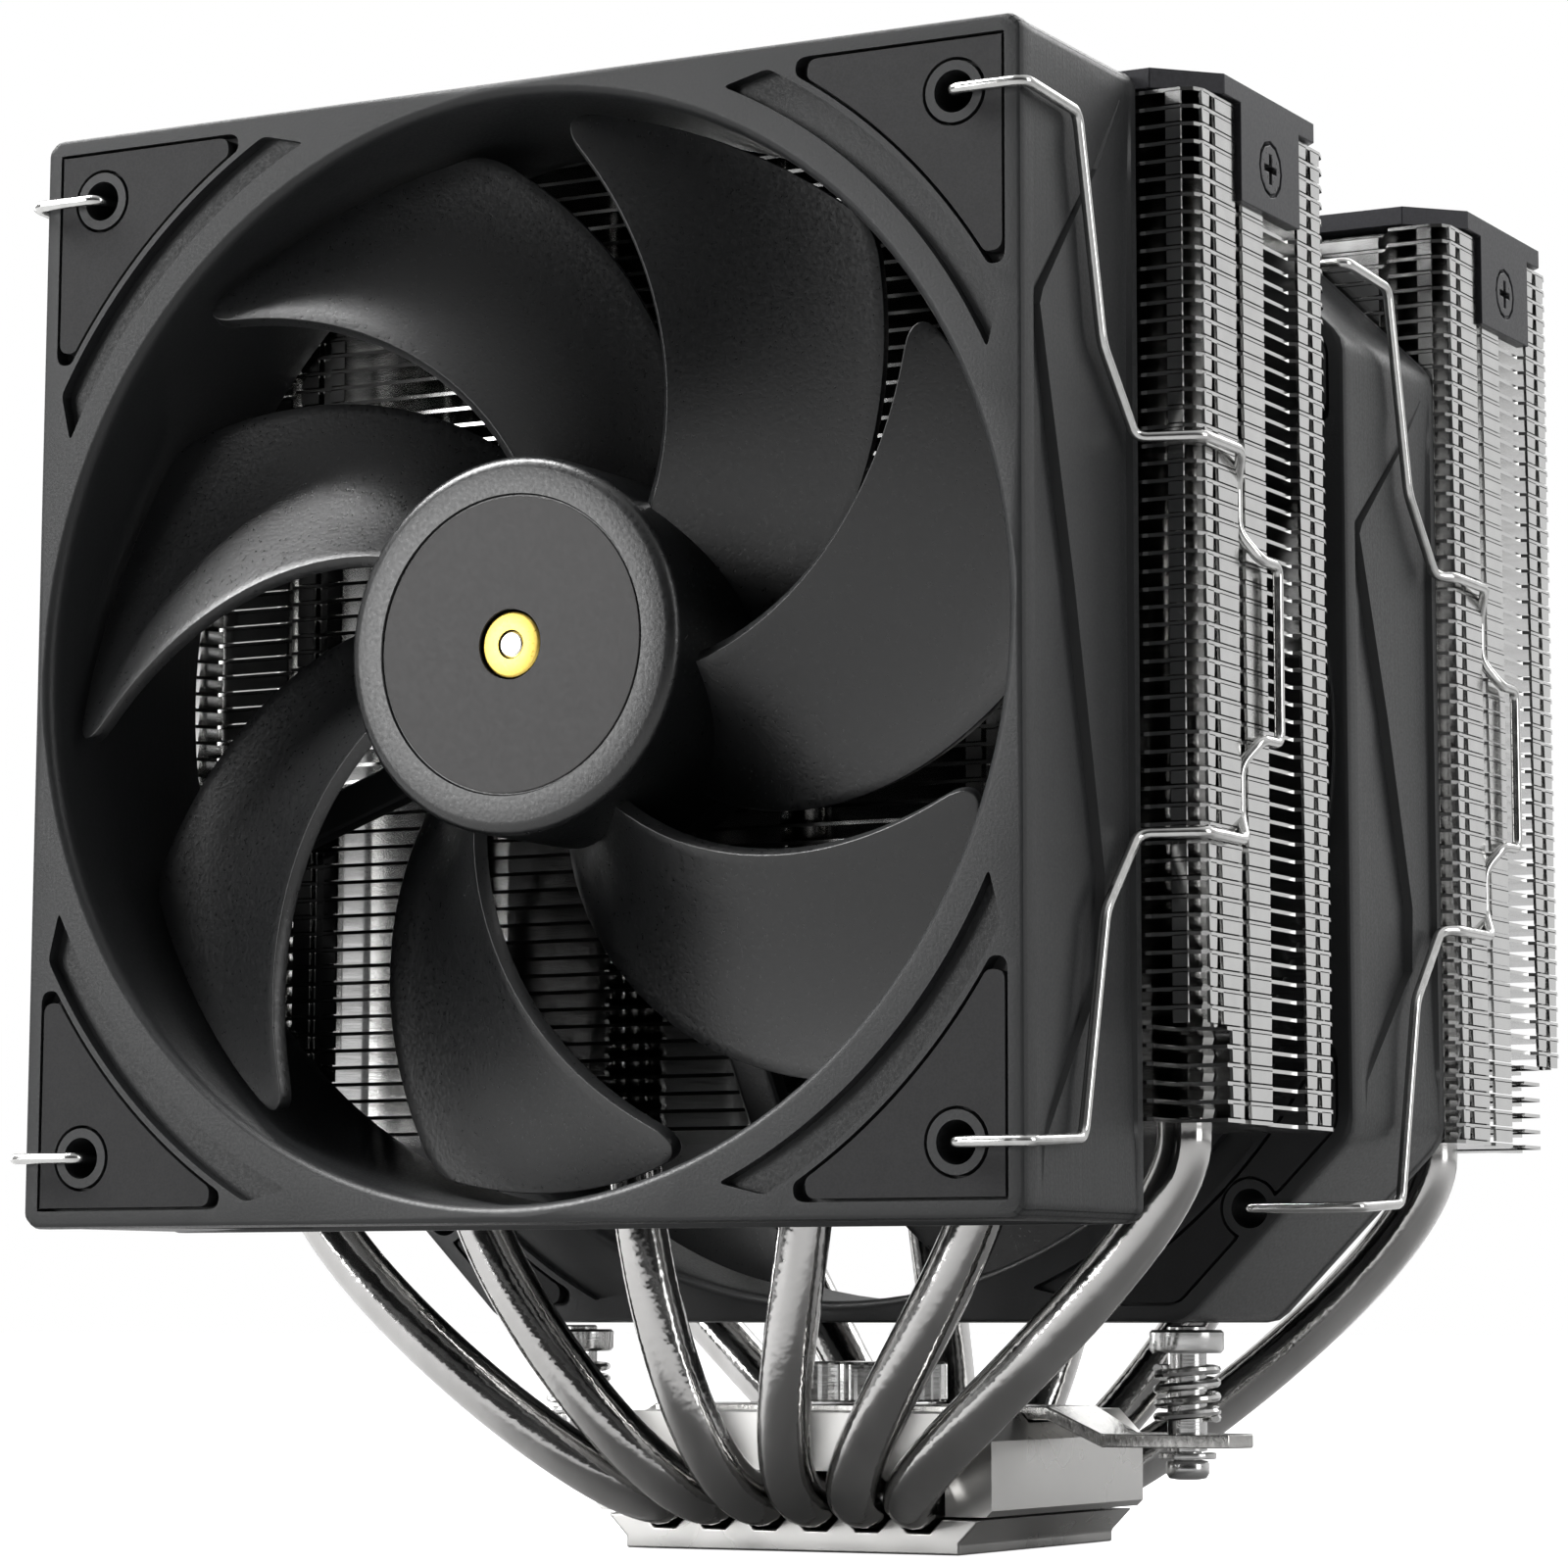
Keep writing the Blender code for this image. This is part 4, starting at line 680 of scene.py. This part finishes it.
def arc(radius, start, end, steps):
    turns = [start + (end - start) * step / steps for step in range(steps + 1)]
    return [(radius * math.cos(turn), radius * math.sin(turn)) for turn in turns]


def rounded(points, reach, steps=4):
    """An outline with the corners that turn by more than 40 degrees rounded off."""
    made = []
    for number, point in enumerate(points):
        corner = Vector(point)
        back = Vector(points[number - 1]) - corner
        on = Vector(points[(number + 1) % len(points)]) - corner
        if back.angle(-on) < math.radians(40):
            made.append(tuple(corner))
            continue
        start = corner + back.normalized() * min(reach, back.length * 0.45)
        end = corner + on.normalized() * min(reach, on.length * 0.45)
        for step in range(steps + 1):
            t = step / steps
            made.append(tuple((1 - t) ** 2 * start + 2 * t * (1 - t) * corner + t * t * end))
    return made


def pad_outlines(half, cut, duct, grow, hole_mm):
    """A corner pad seen from the front: straight edges inside the rim, an arc round the duct, and its hole.

    Where the corner is cut so far back that the hole reaches the edge, the hole is a notch in that edge.
    """
    edge = half - 2.2 + grow
    diagonal = 2 * half - cut - (2.2 - grow) * math.sqrt(2)
    sweep = duct + 8.3 - grow
    start = math.acos(edge / sweep) + math.radians(3.2)
    blunt = sweep * math.sin(start) + 0.3
    beyond = diagonal / math.sqrt(2) - HOLE_PLACE_MM * math.sqrt(2)
    notch = []
    if beyond < hole_mm:
        half_turn = math.acos(beyond / hole_mm)
        first = math.pi / 4 - half_turn
        notch = arc(hole_mm, first, first - math.tau + 2 * half_turn, 24)
        notch = [(HOLE_PLACE_MM + x, HOLE_PLACE_MM + z) for x, z in notch]
    outer = [(edge, blunt), (edge, diagonal - edge), *notch, (diagonal - edge, edge), (blunt, edge)]
    outline = rounded(outer + arc(sweep, math.pi / 2 - start, start, 20), 1.0 + grow)
    return [outline] if notch else [outline, hole_at(1, 1, hole_mm)]


def crescent_outline(half, duct):
    """The sunk crescent between the duct's ring and the pad."""
    inner = duct + 3.8
    edge = half - 2.6
    start = math.acos(edge / inner) if inner > edge else math.radians(8)
    outer = duct + 7.3
    outer_start = math.acos(edge / outer)
    low = start + math.radians(3)
    points = arc(inner, low, math.pi / 2 - low, 24)
    return rounded(points + arc(outer, math.pi / 2 - outer_start, outer_start, 24), 0.8)


def quarter_turns(outlines):
    """The same outlines at each corner of the fan, by mirroring."""
    for x_side, z_side in ((-1, -1), (1, -1), (1, 1), (-1, 1)):
        yield x_side, z_side, [[(x_side * x, z_side * z) for x, z in points] for points in outlines]


def hole_at(x_side, z_side, radius, sides=32):
    circle = arc(radius, 0, math.tau * (1 - 1 / sides), sides - 1)
    return [(x_side * HOLE_PLACE_MM + x, z_side * HOLE_PLACE_MM + z) for x, z in circle]


def fan_frame(half, cut, duct, depth):
    bm = bmesh.new()
    ends = skin(bm, rim_loops(half, cut, depth))
    lip = [(duct + 1.15, 0.0), (duct + 0.75, 0.1), (duct + 0.35, 0.45), (duct + 0.08, 1.1), (duct, 2.2)]
    lip += [(duct, depth - 3.0), (duct + 0.5, depth - 0.2), (duct + 0.7, depth)]
    circle = arc(1.0, 0, math.tau * 127 / 128, 127)
    ends += skin(bm, [[Vector((x * r, back, z * r)) * MM for x, z in circle] for r, back in lip])
    ends = set(ends)
    for back in (0.0, depth):
        flat = [e for e in ends if all(abs(v.co.y / MM - back) < 0.01 for v in e.verts)]
        bmesh.ops.triangle_fill(bm, use_beauty=True, edges=flat)
    bmesh.ops.recalc_face_normals(bm, faces=bm.faces)
    tool = bmesh.new()
    for x_side, z_side, pocket in quarter_turns(pad_outlines(half, cut, duct, 0.35, 3.2)):
        for low, high in ((-5.0, 1.9), (depth - 1.9, depth + 5.0)):
            facing(tool, low, high, *pocket)
        facing(tool, -10.0, depth + 10.0, hole_at(x_side, z_side, 2.2))
    for x_side, z_side, crescent in quarter_turns([crescent_outline(half, duct)]):
        facing(tool, -5.0, 1.5, *crescent)
    carve(bm, tool)
    return bm


def add_struts(bm, duct, depth):
    """Four slanted struts and the round cup that carries the motor."""
    lathe(bm, [(0, depth), (19.6, depth), (20.0, depth - 0.4), (20.0, depth - 5.0), (18.6, depth - 5.0),
               (18.6, depth - 2.0), (4.9, depth - 2.0), (4.9, 8.6), (3.4, 8.6), (3.4, depth - 2.0),
               (0, depth - 2.0)], 64, axis=(0, 1, 0))
    for number in range(4):
        before = set(bm.verts)
        slab(bm, (18.8, depth - 3.4, -2.2), (duct + 0.4, depth - 0.2, 2.2))
        strut = [v for v in bm.verts if v not in before]
        edges = [e for e in bm.edges if e.verts[0] in strut and e.verts[1] in strut]
        bmesh.ops.bevel(bm, geom=edges, offset=0.8 * MM, segments=3, profile=0.5, affect="EDGES", material=-1)
        strut = [v for v in bm.verts if v not in before]
        turn = Matrix.Rotation(math.radians(-20 - 90 * number), 3, "Y")
        bmesh.ops.rotate(bm, verts=strut, cent=(0, 0, 0), matrix=turn)


polyester = moulded_polyester()
fans = {}
for fan, cut_mm, duct_mm in (("front_fan", 1.2, 58.0), ("middle_fan", 20.5, 62.5)):
    low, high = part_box(f"{fan}_frame")
    centre = Vector(((low.x + high.x) / 2, low.y, (low.z + high.z) / 2))
    half_mm = (high.x - low.x) / 2 / MM
    depth_mm = (high.y - low.y) / MM
    fans[fan] = (centre, half_mm, cut_mm, duct_mm, depth_mm)
    shape = fan_frame(half_mm, cut_mm, duct_mm, depth_mm)
    add_struts(shape, duct_mm, depth_mm)
    bmesh.ops.translate(shape, verts=shape.verts, vec=centre)
    add_piece(f"{fan}_frame_moulding", shape, polyester, "cooler", [f"{fan}_frame"], 28)

# ---------------------------------------------------------------- corner pads
# Eight soft pads on each fan, of dark silicone rubber, keep its shake out of the towers. Each sits in a
# pocket at a corner of the frame, with a hole that leaves the screw boss free.


def silicone_rubber():
    """Moulded silicone: dull and dark grey, with a dusty unevenness and no shine."""
    material, shader, place = new_material("silicone_rubber", "262627", 0.0, 0.68, Specular_IOR_Level=0.35)
    dust = grain(material, place, 0.25)
    feed(material, colours(material, grain(material, place, 3.0), "232324", "2a2a2b"), shader, "Base Color")
    feed(material, spread(material, dust, 0.62, 0.76), shader, "Roughness")
    feed(material, relief(material, dust, 0.03, 0.3), shader, "Normal")
    return material


rubber = silicone_rubber()
for fan, (centre, half_mm, cut_mm, duct_mm, depth_mm) in fans.items():
    corners = quarter_turns(pad_outlines(half_mm, cut_mm, duct_mm, 0.0, 3.55))
    for number, (x_side, z_side, pad) in enumerate(corners, start=1):
        for face, low_mm, high_mm in (("front", 0.05, 1.6), ("rear", depth_mm - 1.6, depth_mm + 0.35)):
            # The fan's depth runs along its own Z in the CAD, so its corners count from the top.
            z_first = {1: 4, 2: 3, 3: 2, 4: 1}[number]
            node = f"{fan}_{face}_pad_{z_first}"
            shape = bmesh.new()
            facing(shape, low_mm, high_mm, *pad)
            break_edges(shape, 0.22, sharper_than=50)
            bmesh.ops.translate(shape, verts=shape.verts, vec=centre)
            add_piece(node + "_rubber", shape, rubber, "cooler", [node], 35)

# ---------------------------------------------------------------- rotors
# Each rotor is one moulding of liquid crystal polymer: a cup with seven blades, swept forwards at their tips
# and twisted, with rounded tips. A plain round label lies in a shallow seat on the cup.

BLADES = 7
HUB_R_MM = 20.0
HUB_FRONT_MM = 1.3
HUB_BACK_MM = 22.3


def moulded_blade():
    """Black liquid crystal polymer: satin, darker than the frame, with a sandy grain that the mould leaves."""
    material, shader, place = new_material("moulded_blade", "0e0f10", 0.0, 0.33, Specular_IOR_Level=0.8)
    sand = grain(material, place, 0.45)
    feed(material, spread(material, sand, 0.27, 0.38), shader, "Roughness")
    feed(material, colours(material, grain(material, place, 8.0), "0c0d0e", "121314"), shader, "Base Color")
    feed(material, relief(material, sand, 0.06, 0.4), shader, "Normal")
    return material


def label_film():
    """A printed polyester film without any print: flat dark grey and dull."""
    material, shader, place = new_material("label_film", "353434", 0.0, 0.5)
    fibre = grain(material, place, 0.5)
    feed(material, colours(material, fibre, "323131", "383737"), shader, "Base Color")
    feed(material, spread(material, fibre, 0.46, 0.56), shader, "Roughness")
    return material


def blade(tip_mm):
    """One blade as a sheet, with its leading edge in front and its two tip corners rounded."""
    bm = bmesh.new()
    bmesh.ops.create_grid(bm, x_segments=30, y_segments=18, size=0.5)
    root = HUB_R_MM - 0.8
    lead_round, trail_round = 3.8, 2.0
    for vert in bm.verts:
        out = 1 - (0.5 - vert.co.x) ** 1.7
        back = vert.co.y + 0.5
        radius = root + (tip_mm - root) * out
        sweep = math.radians(42) * out
        chord = math.radians(41 - 3 * out)
        near = max(0.0, tip_mm - radius)
        starts = 5.0 * (1 - math.sqrt(1 - max(0.0, 1 - near / lead_round) ** 2))
        stops = trail_round - math.sqrt(trail_round**2 - max(0.0, trail_round - near) ** 2)
        along = starts / radius + (chord - (starts + stops) / radius) * back
        share = along / chord
        turn = along - sweep
        bow = math.sin(math.pi * share) * 1.12
        front = 6.2 - 3.0 * out
        depth = front + (19.7 - 7.0 * out - front) * share + bow
        vert.co = Vector((radius * math.cos(turn), depth, -radius * math.sin(turn))) * MM
    bmesh.ops.recalc_face_normals(bm, faces=bm.faces)
    return bm


def thickened(bm, name, thickness_mm):
    """The sheet with an even wall and rounded edges."""
    mesh = bpy.data.meshes.new(name)
    bm.to_mesh(mesh)
    bm.free()
    holder = bpy.data.objects.new(name, mesh)
    bpy.context.scene.collection.objects.link(holder)
    wall = holder.modifiers.new("wall", "SOLIDIFY")
    wall.thickness = thickness_mm * MM
    wall.offset = 0
    edge = holder.modifiers.new("edge", "BEVEL")
    edge.width = thickness_mm * 0.35 * MM
    edge.segments = 3
    edge.limit_method = "ANGLE"
    edge.angle_limit = math.radians(60)
    bpy.context.view_layer.update()
    made = bmesh.new()
    made.from_mesh(holder.evaluated_get(bpy.context.evaluated_depsgraph_get()).to_mesh())
    bpy.data.meshes.remove(mesh)
    return made


rotor_polymer = moulded_blade()
film = label_film()
for fan, first_turn in (("front_fan", -45), ("middle_fan", -20)):
    centre, half_mm, cut_mm, duct_mm, depth_mm = fans[fan]
    body = fan.replace("_fan", "_rotor")
    shape = bmesh.new()
    lathe(shape, [
        (HUB_R_MM, HUB_BACK_MM), (HUB_R_MM, 2.6), (HUB_R_MM - 0.1, 2.15), (HUB_R_MM - 0.4, 1.7),
        (HUB_R_MM - 0.8, 1.42), (HUB_R_MM - 1.4, HUB_FRONT_MM), (15.9, HUB_FRONT_MM), (15.75, HUB_FRONT_MM + 0.3),
        (3.7, HUB_FRONT_MM + 0.3), (3.7, 7.5), (5.1, 7.5), (5.1, 3.6), (18.0, 3.6), (18.0, HUB_BACK_MM),
    ], 96, axis=(0, 1, 0))
    sheet = thickened(blade(duct_mm - 1.4), "blade", 1.5)
    cast = bpy.data.meshes.new("blade_wall")
    sheet.to_mesh(cast)
    sheet.free()
    for number in range(BLADES):
        before = len(shape.verts)
        shape.from_mesh(cast)
        shape.verts.ensure_lookup_table()
        turn = Matrix.Rotation(math.radians(first_turn) - math.tau * number / BLADES, 3, "Y")
        bmesh.ops.rotate(shape, verts=shape.verts[before:], cent=(0, 0, 0), matrix=turn)
    bmesh.ops.recalc_face_normals(shape, faces=shape.faces)
    bmesh.ops.translate(shape, verts=shape.verts, vec=centre)
    node = f"{fan}_rotor"
    add_piece(node + "_moulding", shape, rotor_polymer, body, [node], 40, weighted=False)

    shape = bmesh.new()
    front = HUB_FRONT_MM + 0.08
    lathe(shape, [(15.6, front + 0.22), (15.6, front + 0.05), (15.5, front), (3.75, front), (3.75, front + 0.22)],
          96, axis=(0, 1, 0))
    bmesh.ops.translate(shape, verts=shape.verts, vec=centre)
    add_piece(f"{fan}_hub_label", shape, film, body, [], 30)

# ---------------------------------------------------------------- motors
# Inside each hub a steel shaft is pressed into a brass bush and runs in a bronze bearing. A ferrite ring in
# the cup turns round the wound stator, and a small board under it switches the windings.


def turned_brass():
    """Polished brass: a warm yellow mirror with fine lathe rings."""
    material, shader, place = new_material("turned_brass", "f0cc5c", 1.0, 0.3)
    rings = grain(material, place, 0.4)
    feed(material, colours(material, rings, "ecc654", "f8dc7c"), shader, "Base Color")
    feed(material, spread(material, rings, 0.26, 0.4), shader, "Roughness")
    return material


def sintered_bronze():
    """Pressed bronze powder: brown and dull, with open pores that hold the oil."""
    material, shader, place = new_material("sintered_bronze", "9a7348", 1.0, 0.5)
    pores = grain(material, place, 0.3, detail=4.0)
    feed(material, colours(material, pores, "7a5836", "b08a5c"), shader, "Base Color")
    feed(material, relief(material, pores, 0.05, 0.6), shader, "Normal")
    return material


def bonded_ferrite():
    """Rubber-bonded ferrite: near black, slightly metallic and dusty."""
    material, shader, place = new_material("bonded_ferrite", "2c2b2d", 0.2, 0.6)
    dust = grain(material, place, 0.5)
    feed(material, colours(material, dust, "262527", "38373a"), shader, "Base Color")
    return material


def enamelled_copper():
    """Windings of enamelled wire: reddish copper in fine even turns."""
    material, shader, place = new_material("enamelled_copper", "b5673a", 0.9, 0.3)
    turns = grain(material, place, 0.35, stretch=(1, 1, 0.2))
    feed(material, colours(material, turns, "8c4a28", "cf8250"), shader, "Base Color")
    feed(material, relief(material, turns, 0.08, 0.8), shader, "Normal")
    return material


def green_laminate():
    """Glass laminate under green solder mask: smooth, with a weave that barely shows."""
    material, shader, place = new_material("green_laminate", "1f4a2c", 0.0, 0.35, Coat_Weight=0.3)
    weave = grain(material, place, 0.6)
    feed(material, colours(material, weave, "1a4026", "275a36"), shader, "Base Color")
    return material


motor_materials = {
    "hub_bush": (turned_brass(), "bush_brass", 0.15),
    "shaft": (steel, "screw_steel", 0.15),
    "magnet_ring": (bonded_ferrite(), "magnet_ferrite", 0.15),
    "bearing": (sintered_bronze(), "bearing_bronze", 0.15),
    "stator": (enamelled_copper(), "stator_copper", 0.2),
    "circuit_board": (green_laminate(), "board_laminate", 0.1),
}
for fan in fans:
    centre = fans[fan][0]
    for part, (finish, slot, edge_mm) in motor_materials.items():
        node = f"{fan}_{part}"
        turning = part in ("hub_bush", "shaft", "magnet_ring")
        body = fan.replace("_fan", "_rotor") if turning else "cooler"
        if part in ("hub_bush", "shaft"):
            shape = bmesh.new()
            low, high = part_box(node)
            first = (low.y - centre.y) / MM
            last = (high.y - centre.y) / MM
            if part == "hub_bush":
                profile = [(1.55, first), (3.2, first), (3.45, first + 0.2), (3.45, last), (1.55, last)]
            else:
                profile = [(0, first), (1.2, first), (1.4, first + 0.2), (1.4, last), (0, last)]
            lathe(shape, profile, 48, axis=(0, 1, 0))
            bmesh.ops.translate(shape, verts=shape.verts, vec=centre)
        else:
            shape = whole_copy(node)
            break_edges(shape, edge_mm, sharper_than=45)
        add_piece(f"{node}_fine", shape, finish, body, [node])

# ---------------------------------------------------------------- wire clips
# Four clips of bright spring wire hold the fans to the towers. Each hooks into two holes of the fan, runs back
# along its side, snaps into the groove of the fins, and ends in a loop that a finger can pull.

WIRE_R_MM = 0.65
GROOVE_FROM_TOWER_MM = -7.5


def clip_half(half_mm, depth_mm, side, groove_mm):
    """The upper half of a clip's path, from its hook to its finger loop, measured from the fan's front."""
    off = WIRE_R_MM + 0.3
    beside_fan = half_mm + off
    beside_fins = 66.5 + 0.6 + WIRE_R_MM
    leg = 20.5
    loop = 9.5
    path = [
        (HOLE_PLACE_MM, 3.0, HOLE_PLACE_MM),
        (HOLE_PLACE_MM, -off, HOLE_PLACE_MM),
        (beside_fan, -off, HOLE_PLACE_MM),
        (beside_fan, depth_mm * 0.4, HOLE_PLACE_MM - 0.6),
        (beside_fan, depth_mm * 0.6, 29.0),
        (beside_fan, depth_mm + 0.7 - 4 * off, leg),
        (beside_fins, depth_mm + 0.7 - 2 * off, leg),
        (beside_fins, groove_mm - 3 * off, leg),
        (66.5 - WIRE_R_MM + 0.1, groove_mm, leg - 3 * off),
        (66.5 - WIRE_R_MM + 0.1, groove_mm, loop + 3 * off),
        (beside_fins, groove_mm + 2 * off, loop),
        (beside_fins, groove_mm + 6.6, loop),
    ]
    return [Vector((side * x, y, z)) * MM for x, y, z in path]


for fan, tower in (("front_fan", "front"), ("middle_fan", "rear")):
    centre, half_mm, cut_mm, duct_mm, depth_mm = fans[fan]
    low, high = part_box(f"{tower}_fin_stack")
    groove_mm = ((low.y + high.y) / 2 - centre.y) / MM + GROOVE_FROM_TOWER_MM
    for side, name in ((-1, "left"), (1, "right")):
        upper = clip_half(half_mm, depth_mm, side, groove_mm)
        lower = [Vector((point.x, point.y, -point.z)) for point in reversed(upper)]
        shape = wire_mesh(upper + lower, 0.6 * MM, 16, smooth_corner=1.3 * MM)
        bmesh.ops.translate(shape, verts=shape.verts, vec=centre)
        node = f"{fan}_clip_{name}"
        body = node.replace("_fan", "")
        add_piece(node + "_wire", shape, wire_steel, body, [node], weighted=False)

# ---------------------------------------------------------------- studio
# A plain pale floor under soft light, with the camera low in front and to the right.


def area_light(name, power, size, place, target):
    lamp = bpy.data.lights.new(name, "AREA")
    lamp.energy = power
    lamp.shape = "RECTANGLE"
    lamp.size, lamp.size_y = size
    holder = bpy.data.objects.new(name, lamp)
    holder.location = place
    holder.rotation_euler = (Vector(target) - Vector(place)).to_track_quat("-Z", "Y").to_euler()
    bpy.context.scene.collection.objects.link(holder)


floor_shape = bmesh.new()
bmesh.ops.create_grid(floor_shape, x_segments=1, y_segments=1, size=6.0)
bmesh.ops.translate(floor_shape, verts=floor_shape.verts, vec=(0, 0, -0.2 * MM))
floor_mesh = bpy.data.meshes.new("floor")
floor_shape.to_mesh(floor_mesh)
floor_shape.free()
floor = bpy.data.objects.new("floor", floor_mesh)
bpy.context.scene.collection.objects.link(floor)
paper, paper_shader, paper_place = new_material("white_paper", "989898", 0.0, 0.9)
paper_shader.inputs["Emission Color"].default_value = (1, 1, 1, 1)
looked_at = add_node(paper, "ShaderNodeLightPath", {}).outputs["Is Camera Ray"]
feed(paper, looked_at, paper_shader, "Emission Strength")
floor_mesh.materials.append(paper)

area_light("key", 5.0, (0.5, 0.5), (-0.75, -1.15, 0.3), (0, 0, 0.1))
area_light("top", 24.0, (0.6, 0.6), (-0.55, -0.2, 0.85), (0, 0, 0.1))
area_light("left", 10.0, (0.3, 1.2), (-1.1, 0.2, 0.2), (0, 0, 0.09))
area_light("side", 6.0, (0.5, 1.2), (1.15, -0.1, 0.35), (0, 0, 0.09))
area_light("back", 8.0, (1.4, 0.6), (0.1, 1.2, 0.9), (0, 0, 0.09))

world = bpy.data.worlds.new("studio")
bpy.context.scene.world = world
world.use_nodes = True
background = world.node_tree.nodes["Background"]
background.inputs["Color"].default_value = (1, 1, 1, 1)
way = add_node(world, "ShaderNodeTexCoord", {}).outputs["Generated"]
towards = add_node(world, "ShaderNodeVectorMath", {0: way, 1: (-0.25, 0.8, 0.55)}, operation="DOT_PRODUCT")
sky = {"Value": towards.outputs["Value"], "From Min": -0.7, "From Max": 0.9, "To Min": 0.04, "To Max": 0.85}
lit = add_node(world, "ShaderNodeMapRange", sky, interpolation_type="SMOOTHSTEP").outputs["Result"]
world.node_tree.links.new(lit, background.inputs["Strength"])
seen = world.node_tree.nodes.new("ShaderNodeLightPath")
plain = world.node_tree.nodes.new("ShaderNodeBackground")
plain.inputs["Color"].default_value = (1, 1, 1, 1)
either = world.node_tree.nodes.new("ShaderNodeMixShader")
world.node_tree.links.new(seen.outputs["Is Camera Ray"], either.inputs[0])
world.node_tree.links.new(background.outputs[0], either.inputs[1])
world.node_tree.links.new(plain.outputs[0], either.inputs[2])
world.node_tree.links.new(either.outputs[0], world.node_tree.nodes["World Output"].inputs["Surface"])

lens = bpy.data.cameras.new("camera")
lens.sensor_width = 36
lens.lens = 111.3
lens.shift_x = -0.0581
lens.shift_y = -0.0914
lens.clip_start = 0.01
lens.clip_end = 20
camera = bpy.data.objects.new("camera", lens)
camera.location = (0.2645, -0.5075, 0.0261)
camera.rotation_euler = (math.pi / 2 + 0.139, 0, 0.480)
bpy.context.scene.collection.objects.link(camera)
bpy.context.scene.camera = camera
bpy.context.scene.view_settings.view_transform = "Standard"
